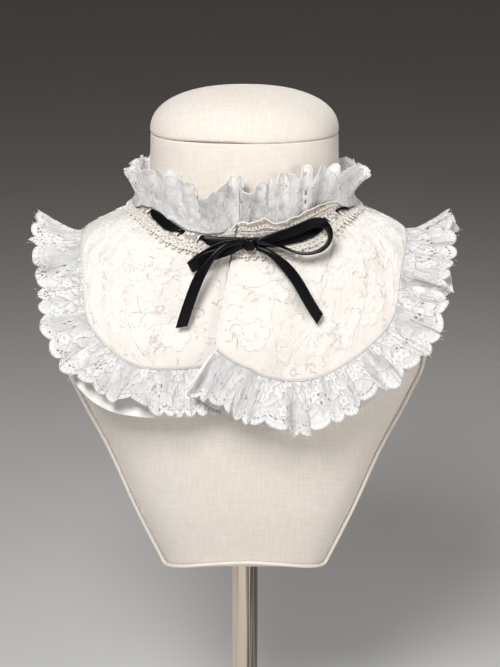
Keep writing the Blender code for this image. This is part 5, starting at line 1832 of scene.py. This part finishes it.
def frill_surface():
    """The smooth strip of the neck frill, its length and its mean width."""
    angle, at = row_of_angles(*neck_ends(-FRILL_LAP), 0.5 * MM, NECK_ROOT)
    seam = bust_points(angle, neck_height(angle))
    forward = unit(np.gradient(seam, axis=0))
    joined = smoothstep(np.minimum(at, at[-1] - at), 0, FRILL_JOINS)
    phase = fold_phase(at, NECK_WAVE, 7, NECK_FOLDS_UNEVEN)
    strength = fold_strength(at, NECK_WAVE, 11, *NECK_FOLD_DEPTHS) * (0.3 + 0.7 * joined)
    drifts = [joined * wander(at, spacing * MM, seed) for spacing, seed in NECK_DRIFTS]
    gathers, flop, taller, leaning = drifts
    lean, width = frill_lean_and_width(angle)
    lean = lean + math.radians(NECK_LEAN_VARIES) * leaning
    out, up = unit(bust_normals(seam) * (1, 1, 0)), np.array([0.0, 0.0, 1.0])
    free = width - NECK_FLAT + NECK_TALLER * taller
    grid = frill_base(angle, at)
    place = grid[-1]
    steps = np.linspace(0, 1, 31)
    for before, step in zip(steps, steps[1:]):
        turn = (lean * (CURLS_FROM + 2 * (1 - CURLS_FROM) * step))[:, None]
        onward = up * np.cos(turn) + out * np.sin(turn)
        across = out * np.cos(turn) - up * np.sin(turn)
        place = place + onward * (free * (step - before))[:, None]
        off, along = wave_of(phase, strength, NECK_WAVE_HEIGHT, step, NECK_BULGE, 0)
        gathered = smoothstep(step, 0, 0.25) * (1 - 0.6 * smoothstep(step, 0.5, 1))
        off = off + gathers * NECK_GATHERS * gathered + flop * NECK_FLOP * step**1.5
        grid.append(place + across * off[:, None] + forward * along[:, None] * 0.8)
    flat_rows = np.linspace(FOOT_UNDER, NECK_FLAT, NECK_FLAT_ROWS)
    shares = np.concatenate([flat_rows, NECK_FLAT + (FRILL_WIDTH - NECK_FLAT) * steps[1:]]) / FRILL_WIDTH
    return Surface(at, shares, np.stack(grid, axis=1)), at[-1], float(width.mean())


def make_neck_frill():
    surface, length, mean_width = frill_surface()
    lobes = round(length * NECK_FULLNESS / SCALLOP)
    pitch = length / lobes

    def width_at(along):
        return np.full(len(along), FRILL_WIDTH - FOOT_UNDER)

    shape = (0, lobes, -1, NECK_LOBE_DEPTH, NECK_LOBE_TILT)
    strip, hem = lace_strip("neck_frill_scalloped", surface, pitch, width_at, NECK_LACE, *shape)
    finish_piece(strip, "neck_frill")
    cord("neck_frill_hem_thread", [hem], HEM_THREAD_RADIUS, COOL_THREAD, 5)


make_neck_frill()

# %% [markdown]
# ## Beading lace and ribbon
#
# Beading is lace with a ladder of slots for a ribbon. It is laid out by its length round the neckline from the
# knot and its distance down from the seam. The ribbon passes behind it between the slots of each pair, pinched
# where it dives through.

# %% The neckline as a ruler
KNOT_CENTRE = (0.0036, -0.0780, 0.4547)
BEADING_HALF_HEIGHT = 9.0 * MM
SLOT_HALF_HEIGHT = 3.7 * MM
SLOT_WIDTH = 3.6 * MM
BEADING_OFFSET = 4.9 * MM
BEADING_ENDS_APART = 0.8 * MM
SLOTS_FROM_KNOT = {"right": (0.0345, 0.0490), "left": (0.0615, 0.0760)}
SLOT_REPEAT = 0.050
RIBBON_WIDTH = 7.6 * MM
RIBBON_OUTSIDE = 6.6 * MM
RIBBON_INSIDE = 3.5 * MM


class Neckline:
    """Places round the neck: a length from the knot by way of the wearer's right, a distance down, and out."""

    def __init__(self):
        knot = angle_at(KNOT_CENTRE[0], NECK_HEIGHT_FRONT)
        start, end = neck_ends(BEADING_ENDS_APART)
        self.angles = np.linspace(knot, end, 1001)
        self.lengths = lengths_along(off_bust(self.angles, neck_height(self.angles), BEADING_OFFSET))
        self.first = float(np.interp(start, self.angles, self.lengths))
        self.last = float(self.lengths[-1])
        self.round = float(np.interp(knot + 2 * math.pi, self.angles, self.lengths))
        self.downs = np.linspace(-20 * MM, 13 * MM, 34)
        self.heights = height_from_neckline(self.angles, self.downs)

    def at(self, along, down, out):
        along, down, out = np.broadcast_arrays(*(np.asarray(v, float) for v in (along, down, out)))
        height = read_grid(self.heights, place_in(self.lengths, along), place_in(self.downs, down))
        return off_bust(np.interp(along, self.lengths, self.angles), height, out)


NECK = Neckline()
print(f"neckline: {NECK.round:.3f} m")


def slots_along():
    """The middles of the slots, as lengths along the neckline from the knot."""
    found = []
    for side, slots in SLOTS_FROM_KNOT.items():
        for turn in range(int((NECK.round / 2 - slots[0]) / SLOT_REPEAT) + 1):
            places = [slot + turn * SLOT_REPEAT for slot in slots]
            if places[-1] < NECK.round / 2:
                found += places if side == "right" else [NECK.round - place for place in places]
    return np.array(sorted(found))


SLOTS = slots_along()

# %% The beading lace
BEADING_THICKNESS = 0.6 * MM
EDGE_WAVE_LENGTH = 11.0 * MM
EDGE_WAVE = 1.1 * MM
PICOT_STEP = 4.6 * MM
PICOT_LOOP = 2.1 * MM
FLARE_FROM_KNOT = np.array((-0.016, -0.008, 0.004, 0.016, 0.027, 0.040, 0.054, 0.066, 0.080))
FLARE_UP = np.array((0.0, 4.5, 4.0, 7.5, 3.5, 5.5, 6.5, 5.0, 0.5)) * MM
FLARE_OUT_SHARE = 0.35
UPPER_EDGE_WAVE = 0.9 * MM
THREAD_OUT = 0.35 * MM
INNER_ROWS, OUTER_ROWS = 9, 5
RAILS = (
    # from the beading's middle, how far it swings and how often, in millimetres
    (5.3, 0.30, 3.7),
    (7.0, 1.25, 6.4),
    (7.0, -1.25, 6.4),
)


def beading_edge(along):
    """How far the scalloped edges stand out past the beading's straight middle."""
    return EDGE_WAVE * np.abs(np.cos(math.pi * along / EDGE_WAVE_LENGTH)) ** 0.7 - EDGE_WAVE * 0.5


def upper_rise(along):
    """How much higher the upper edge reaches beside the throat, on the wearer's left."""
    return smooth(NECK.round - along, FLARE_FROM_KNOT, FLARE_UP) + smooth(-along, FLARE_FROM_KNOT, FLARE_UP)


def upper_flare(along):
    """The upper edge stands off the neck in soft waves, and more where it reaches higher."""
    waves = UPPER_EDGE_WAVE * (1 + np.sin(2 * math.pi * along / (2.3 * EDGE_WAVE_LENGTH)))
    return waves + FLARE_OUT_SHARE * upper_rise(along)


def past_slots(down):
    """How far a distance from the beading's middle is on its way from the slots' ends to the edge."""
    return np.clip((np.abs(down) - SLOT_HALF_HEIGHT) / (BEADING_HALF_HEIGHT - SLOT_HALF_HEIGHT), 0, 1)


def make_beading():
    """The beading's cloth, with its slots cut. It returns the grid of its points."""
    stops = [NECK.first, *(slot + side * SLOT_WIDTH / 2 for slot in SLOTS for side in (-1, 1)), NECK.last]
    pieces = [np.array(stops[:1])]
    for first, second in zip(stops, stops[1:]):
        pieces.append(np.linspace(first, second, max(2, round((second - first) / (1.1 * MM))) + 1)[1:])
    along = np.concatenate(pieces)
    inner = np.linspace(-SLOT_HALF_HEIGHT, SLOT_HALF_HEIGHT, INNER_ROWS)
    outer = np.linspace(SLOT_HALF_HEIGHT, BEADING_HALF_HEIGHT, OUTER_ROWS + 1)[1:]
    level = np.concatenate([-outer[::-1], inner, outer])[None, :] + 0 * along[:, None]
    beyond, upper = past_slots(level), level < 0
    down = level + np.sign(level) * beyond * beading_edge(along)[:, None]
    down = down - upper * beyond * upper_rise(along)[:, None]
    out = BEADING_OFFSET + upper * beyond**2 * upper_flare(along)[:, None] + 0.25 * MM * beyond * (down > 0)
    middles = (along[:-1] + along[1:]) / 2
    cut = [i for i, middle in enumerate(middles) if np.abs(SLOTS - middle).min() < SLOT_WIDTH / 2]
    missing = [(i, j) for i in cut for j in range(OUTER_ROWS, OUTER_ROWS + INNER_ROWS - 1)]
    points = NECK.at(along[:, None], down, out)
    strip = cloth("beading_lace_strip", points, grid_of(along, down), BEADING_THICKNESS, BEADING_LACE, missing)
    finish_piece(strip, "beading_lace")
    return points


def make_beading_cords(points):
    """The beading's thick threads: along both edges, as rails on either side of the slots, and round each slot."""
    fine = np.arange(NECK.first + 0.5 * MM, NECK.last - 0.5 * MM, 0.8 * MM)
    out = BEADING_OFFSET + THREAD_OUT
    rails, rims = [], []
    for rail, swing, wave in RAILS:
        down = rail * MM + swing * MM * np.sin(2 * math.pi * fine / (wave * MM))
        beyond = past_slots(rail * MM)
        up, lean = down + upper_rise(fine) * beyond, upper_flare(fine) * beyond**2
        rails += [NECK.at(fine, -up, out + lean), NECK.at(fine, down, out)]
    turn = np.linspace(0, 2 * math.pi, 28, endpoint=False)
    for slot in SLOTS:
        x, y = (
            np.sign(wave) * np.abs(wave) ** 0.4 * (half + 0.1 * MM)
            for wave, half in ((np.cos(turn), SLOT_WIDTH / 2), (np.sin(turn), SLOT_HALF_HEIGHT))
        )
        rims.append(NECK.at(slot + x, y, BEADING_OFFSET))
    cord("beading_edge_cords", [points[:, 0], points[:, -1]], 0.55 * MM, IVORY_THREAD, 6)
    cord("beading_rail_cords", rails, 0.38 * MM, IVORY_THREAD, 5)
    cord("beading_slot_rims", rims, 0.45 * MM, IVORY_THREAD, 6, closed=True)


def make_picots():
    """A thread that loops along the lower edge: a rolling circle's path, whose loops are the picots."""
    turns = int((NECK.last - NECK.first - 4 * MM) / PICOT_STEP)
    phase = np.arange(0, turns, 1 / 14) * 2 * math.pi
    middle = NECK.first + 2 * MM + phase / (2 * math.pi) * PICOT_STEP
    along = middle + PICOT_LOOP * np.sin(phase)
    down = BEADING_HALF_HEIGHT + beading_edge(middle) + 0.8 * MM - PICOT_LOOP * np.cos(phase)
    out = BEADING_OFFSET + THREAD_OUT + 0.30 * MM * np.sin(phase)
    cord("beading_picots", [NECK.at(along, down, out)], 0.46 * MM, IVORY_THREAD, 5)


make_beading_cords(make_beading())
make_picots()

# %% The ribbon round the neck
RIBBON_THICKNESS = 0.45 * MM
RIBBON_CROWN = 0.35 * MM
RIBBON_ROWS = np.linspace(-1, 1, 9)
PINCHED, PINCH_LENGTH, PINCH_RISE = 0.62, 6.0 * MM, 0.75


def make_neck_ribbon():
    along = np.arange(0.5 * MM, NECK.round - 0.5 * MM, 0.8 * MM)
    inside = np.zeros(len(along))
    half = SLOT_WIDTH / 2
    for first, second in zip(SLOTS[::2], SLOTS[1::2]):
        inside += smoothstep(along, first - half, first + half)
        inside -= smoothstep(along, second - half, second + half)
    to_slot = np.abs(along[:, None] - SLOTS[None, :]).min(axis=1)
    pinch = 1 - PINCHED * np.exp(-((to_slot / PINCH_LENGTH) ** 2))
    offset = RIBBON_OUTSIDE + (RIBBON_INSIDE - RIBBON_OUTSIDE) * inside
    crown = RIBBON_CROWN * (1 - RIBBON_ROWS**2)[None, :] * (1 - inside)[:, None]
    down = RIBBON_WIDTH / 2 * (RIBBON_ROWS[None, :] * pinch[:, None] - PINCH_RISE * (1 - pinch[:, None]))
    points = NECK.at(along[:, None], down, offset[:, None] + crown)
    ribbon = cloth("neck_ribbon_satin", points, grid_of(along, down), RIBBON_THICKNESS, BLACK_SATIN)
    finish_piece(ribbon, "neck_ribbon")


make_neck_ribbon()

# %% [markdown]
# ## The bow
#
# Each strip of the bow follows a route of points with two more columns: how far the ribbon is turned edge-on to
# the front, and how much of its width is left where the knot bunches it. Where it is bunched it cups, because its
# cloth has to go somewhere. The two free ends are cut on the slant and fray a little.

# %% The bow's strips
KNOT_SIZE = (8.8 * MM, 7.6 * MM, 9.0 * MM)
KNOT_SQUARENESS = 0.62
KNOT_PLEAT, KNOT_WAIST = 0.07, 0.10
TAIL_CUT = 4.0 * MM
CUP_MOST, CUP_SHARE, CUP_LEAST = 0.45, 0.55, 0.15 * MM
FRAYED_THREADS, FRAYED_RADIUS = 14, 0.09 * MM
STRIP_COLUMNS = ("x", "y", "z", "turn", "width")
LOOP_RIGHT_ROUTE = (
    (-0.0017, -0.0790, 0.4545, 0, 0.60),
    (-0.0098, -0.0800, 0.4515, 0, 0.95),
    (-0.0195, -0.0815, 0.4485, 0, 1.00),
    (-0.0292, -0.0820, 0.4445, 0, 1.00),
    (-0.0355, -0.0812, 0.4396, 0, 1.00),
    (-0.0378, -0.0795, 0.4385, 0, 1.00),
    (-0.0349, -0.0778, 0.4410, 0, 1.00),
    (-0.0280, -0.0772, 0.4459, 0, 1.00),
    (-0.0182, -0.0767, 0.4515, 0, 1.00),
    (-0.0092, -0.0762, 0.4545, 0, 0.90),
    (-0.0017, -0.0759, 0.4560, 0, 0.60),
)
LOOP_LEFT_ROUTE = (
    (0.0086, -0.0800, 0.4566, 70, 0.40),
    (0.0144, -0.0803, 0.4560, 80, 0.80),
    (0.0220, -0.0803, 0.4549, 88, 1.00),
    (0.0303, -0.0800, 0.4517, 90, 1.00),
    (0.0387, -0.0790, 0.4486, 90, 1.00),
    (0.0471, -0.0772, 0.4483, 88, 1.00),
    (0.0548, -0.0752, 0.4510, 80, 1.00),
    (0.0593, -0.0737, 0.4567, 74, 1.00),
    (0.0585, -0.0728, 0.4643, 50, 1.00),
    (0.0526, -0.0722, 0.4689, 20, 1.00),
    (0.0435, -0.0728, 0.4670, 4, 1.00),
    (0.0338, -0.0736, 0.4630, 2, 1.00),
    (0.0241, -0.0744, 0.4600, 0, 0.90),
    (0.0158, -0.0750, 0.4577, 0, 0.75),
    (0.0086, -0.0754, 0.4560, 0, 0.60),
)
TAIL_RIGHT_ROUTE = (
    (-0.0010, -0.0806, 0.4566, 0, 0.50),
    (-0.0091, -0.0832, 0.4564, 0, 0.50),
    (-0.0174, -0.0855, 0.4524, 0, 0.50),
    (-0.0246, -0.0875, 0.4440, 0, 0.65),
    (-0.0309, -0.0890, 0.4341, 0, 0.95),
    (-0.0361, -0.0895, 0.4214, 0, 1.00),
    (-0.0404, -0.0888, 0.4090, 0, 1.00),
    (-0.0437, -0.0875, 0.3978, 0, 1.00),
)
TAIL_LEFT_ROUTE = (
    (0.0086, -0.0799, 0.4525, 0, 0.45),
    (0.0151, -0.0822, 0.4508, 0, 0.55),
    (0.0220, -0.0842, 0.4466, 0, 0.70),
    (0.0292, -0.0857, 0.4400, 0, 0.95),
    (0.0365, -0.0865, 0.4306, 0, 1.00),
    (0.0432, -0.0865, 0.4188, 0, 1.00),
    (0.0485, -0.0858, 0.4096, 0, 1.00),
    (0.0528, -0.0850, 0.4029, 0, 1.00),
)
CUP_ROWS = np.linspace(-1, 1, 9)


def bow_strip(name, node, route, held_across, end_cut, count):
    """A length of ribbon along a route, turned as its table says, or with its width held to one direction."""
    table = columns(STRIP_COLUMNS, route)
    points = np.array([row[:3] for row in route])
    middle = curve_through(points, count)
    known, at = lengths_along(points), np.linspace(0, 1, count)
    turn = np.radians(smooth(at, known / known[-1], table["turn"]))
    share = smooth(at, known / known[-1], table["width"])
    half = RIBBON_WIDTH / 2 * share
    forward = unit(np.gradient(middle, axis=0))

    def square_on(direction):
        """The direction, made square to the route at each point."""
        wanted = np.tile(direction, (count, 1))
        return unit(wanted - forward * (wanted * forward).sum(1)[:, None])

    if held_across:
        across = square_on(held_across)
    else:
        front = square_on((0.0, -1.0, 0.0))
        across = np.cross(forward, front) * np.cos(turn)[:, None] + front * np.sin(turn)[:, None]
    bulge = np.cross(across, forward)
    bulge = bulge * np.where(bulge[:, 1] < 0, 1, -1)[:, None]
    cup = np.minimum(1 - share, CUP_MOST) * CUP_SHARE * RIBBON_WIDTH / 2 + CUP_LEAST
    slant = end_cut / 2 * smoothstep(at, 1 - 2.5 * abs(end_cut) / known[-1], 1)
    grid = middle[:, None] + across[:, None] * (half[:, None] * CUP_ROWS)[..., None]
    grid = grid + bulge[:, None] * (cup[:, None] * (1 - CUP_ROWS**2))[..., None]
    grid = grid - forward[:, None] * (CUP_ROWS * slant[:, None])[..., None]
    flat = grid_of(lengths_along(middle), RIBBON_WIDTH / 2 * CUP_ROWS)
    strip = finish_piece(cloth(name, grid, flat, RIBBON_THICKNESS, BLACK_SATIN), node)
    return strip, middle, grid


def frayed_end(name, grid, seed):
    """Short loose threads at a cut end."""
    varied = np.random.default_rng(seed)
    places = np.arange(grid.shape[1])
    lines = []
    for _ in range(FRAYED_THREADS):
        across = varied.uniform(0, places[-1])
        start, inner = (
            np.array([np.interp(across, places, row[:, k]) for k in range(3)]) for row in (grid[-1], grid[-3])
        )
        onward = unit(start - inner)
        reach = varied.uniform(0.5, 1.6) * MM
        bend = varied.uniform(-0.35, 0.35, 3) * reach
        steps = np.linspace(0, 1, 5)[:, None]
        lines.append(start - onward * 0.4 * MM + onward * reach * steps + bend * steps**2)
    return cord(name, lines, FRAYED_RADIUS, BLACK_THREAD, 3)


def make_knot():
    """The wrapped knot: a rounded block whose wrap is drawn into uneven upright pleats."""
    turn, rise = np.linspace(0, 2 * math.pi, 73)[:, None], np.linspace(-math.pi / 2, math.pi / 2, 33)[None, :]

    def rounded(value):
        return np.sign(value) * np.abs(value) ** KNOT_SQUARENESS

    x, y = rounded(np.cos(rise)) * rounded(np.sin(turn)), rounded(np.cos(rise)) * rounded(np.cos(turn))
    z = rounded(np.sin(rise)) + 0 * turn
    pleat = 1 - KNOT_PLEAT * (1 + np.sin(9.0 * x + 1.2 * np.sin(3 * z))) * np.cos(rise)
    waist = 1 - KNOT_WAIST * np.cos(math.pi * z / 1.6)
    points = np.stack([x * pleat * waist, y * pleat, z], axis=-1) * (np.array(KNOT_SIZE) / 2) + KNOT_CENTRE
    flat = np.stack([x * KNOT_SIZE[0] / 2, z * KNOT_SIZE[2] / 2], axis=-1)
    knot = cloth("bow_knot_wrap", points, flat, 0, BLACK_SATIN)
    merge_seams(knot.data, 1e-5)
    finish_piece(knot, "bow_knot")


def make_bow():
    make_knot()
    bow_strip("bow_loop_right_satin", "bow_loop_right", LOOP_RIGHT_ROUTE, (-0.45, 0.0, 0.87), 0, 90)
    bow_strip("bow_loop_left_satin", "bow_loop_left", LOOP_LEFT_ROUTE, None, 0, 120)
    for side, route, seed in (("right", TAIL_RIGHT_ROUTE, 1), ("left", TAIL_LEFT_ROUTE, 2)):
        name = f"bow_tail_{side}"
        tail, middle, grid = bow_strip(name + "_satin", name, route, None, -TAIL_CUT, 80)
        threads = frayed_end(name + "_frayed_end", grid, seed)
        print(f"{name}: {1000 * lengths_along(middle)[-1]:.0f} mm of ribbon")


make_bow()

# %% [markdown]
# ## Floor and light
#
# The floor is large, plain and pale. A large key light from above and to the side of the camera shapes the folds,
# and the others only lift what it leaves dark.

# %% Floor and light
COLLAR = (0, -0.05, 0.40)
TORSO = (0, 0, 0.28)
FLOOR_REACH = 14.0
LIGHTS = (
    # name, place, what it aims at, size, power, colour, spread in degrees
    ("key", (-0.35, -1.25, 1.45), COLLAR, 0.55, 25, (1.0, 0.985, 0.965), 180),
    ("fill", (1.2, -1.1, 0.56), COLLAR, 0.7, 7, (1.0, 0.96, 0.915), 180),
    ("top", (0.1, 0.6, 1.4), COLLAR, 0.8, 4, (1, 1, 1), 180),
    ("back", (0.5, 1.5, 0.95), COLLAR, 0.6, 0.50, (1, 1, 1), 40),
    ("left", (-1.4, -0.2, 0.58), COLLAR, 0.6, 0.16, (1, 1, 1), 40),
    ("low", (-0.4, -1.9, 0.40), TORSO, 0.4, 0.3, (1.0, 0.84, 0.70), 180),
)
SURROUNDINGS = (1.0, 0.88, 0.77, 1)
SURROUNDINGS_STRENGTH = 0.06


def area_light(name, place, aim, size, power, colour, spread):
    lamp = bpy.data.lights.new(name, "AREA")
    lamp.shape = "SQUARE"
    lamp.size = size
    lamp.spread = math.radians(spread)
    lamp.energy = power
    lamp.color = colour
    made = link(name, lamp)
    made.location = place
    made.rotation_euler = (Vector(aim) - Vector(place)).to_track_quat("-Z", "Y").to_euler()


def make_floor():
    finish = Finish("studio floor", Roughness=0.9, Specular_IOR_Level=0.2)
    finish.colour(finish.noise(finish.object_place(), 3.0, 2), (0.70, 0.70, 0.70), (0.74, 0.74, 0.74))
    mesh = bpy.data.meshes.new("studio_floor")
    corners = [(x * FLOOR_REACH, y * FLOOR_REACH, 0) for x, y in ((-1, -1), (1, -1), (1, 1), (-1, 1))]
    mesh.from_pydata(corners, [], [(0, 1, 2, 3)])
    mesh.materials.append(finish.material)
    link("studio_floor", mesh)


def make_surroundings():
    world = bpy.data.worlds.new("studio")
    world.use_nodes = True
    background = world.node_tree.nodes["Background"]
    background.inputs["Color"].default_value = SURROUNDINGS
    background.inputs["Strength"].default_value = SURROUNDINGS_STRENGTH
    bpy.context.scene.world = world


make_floor()
for light in LIGHTS:
    area_light(*light)
make_surroundings()
bpy.context.scene.view_settings.view_transform = "Standard"
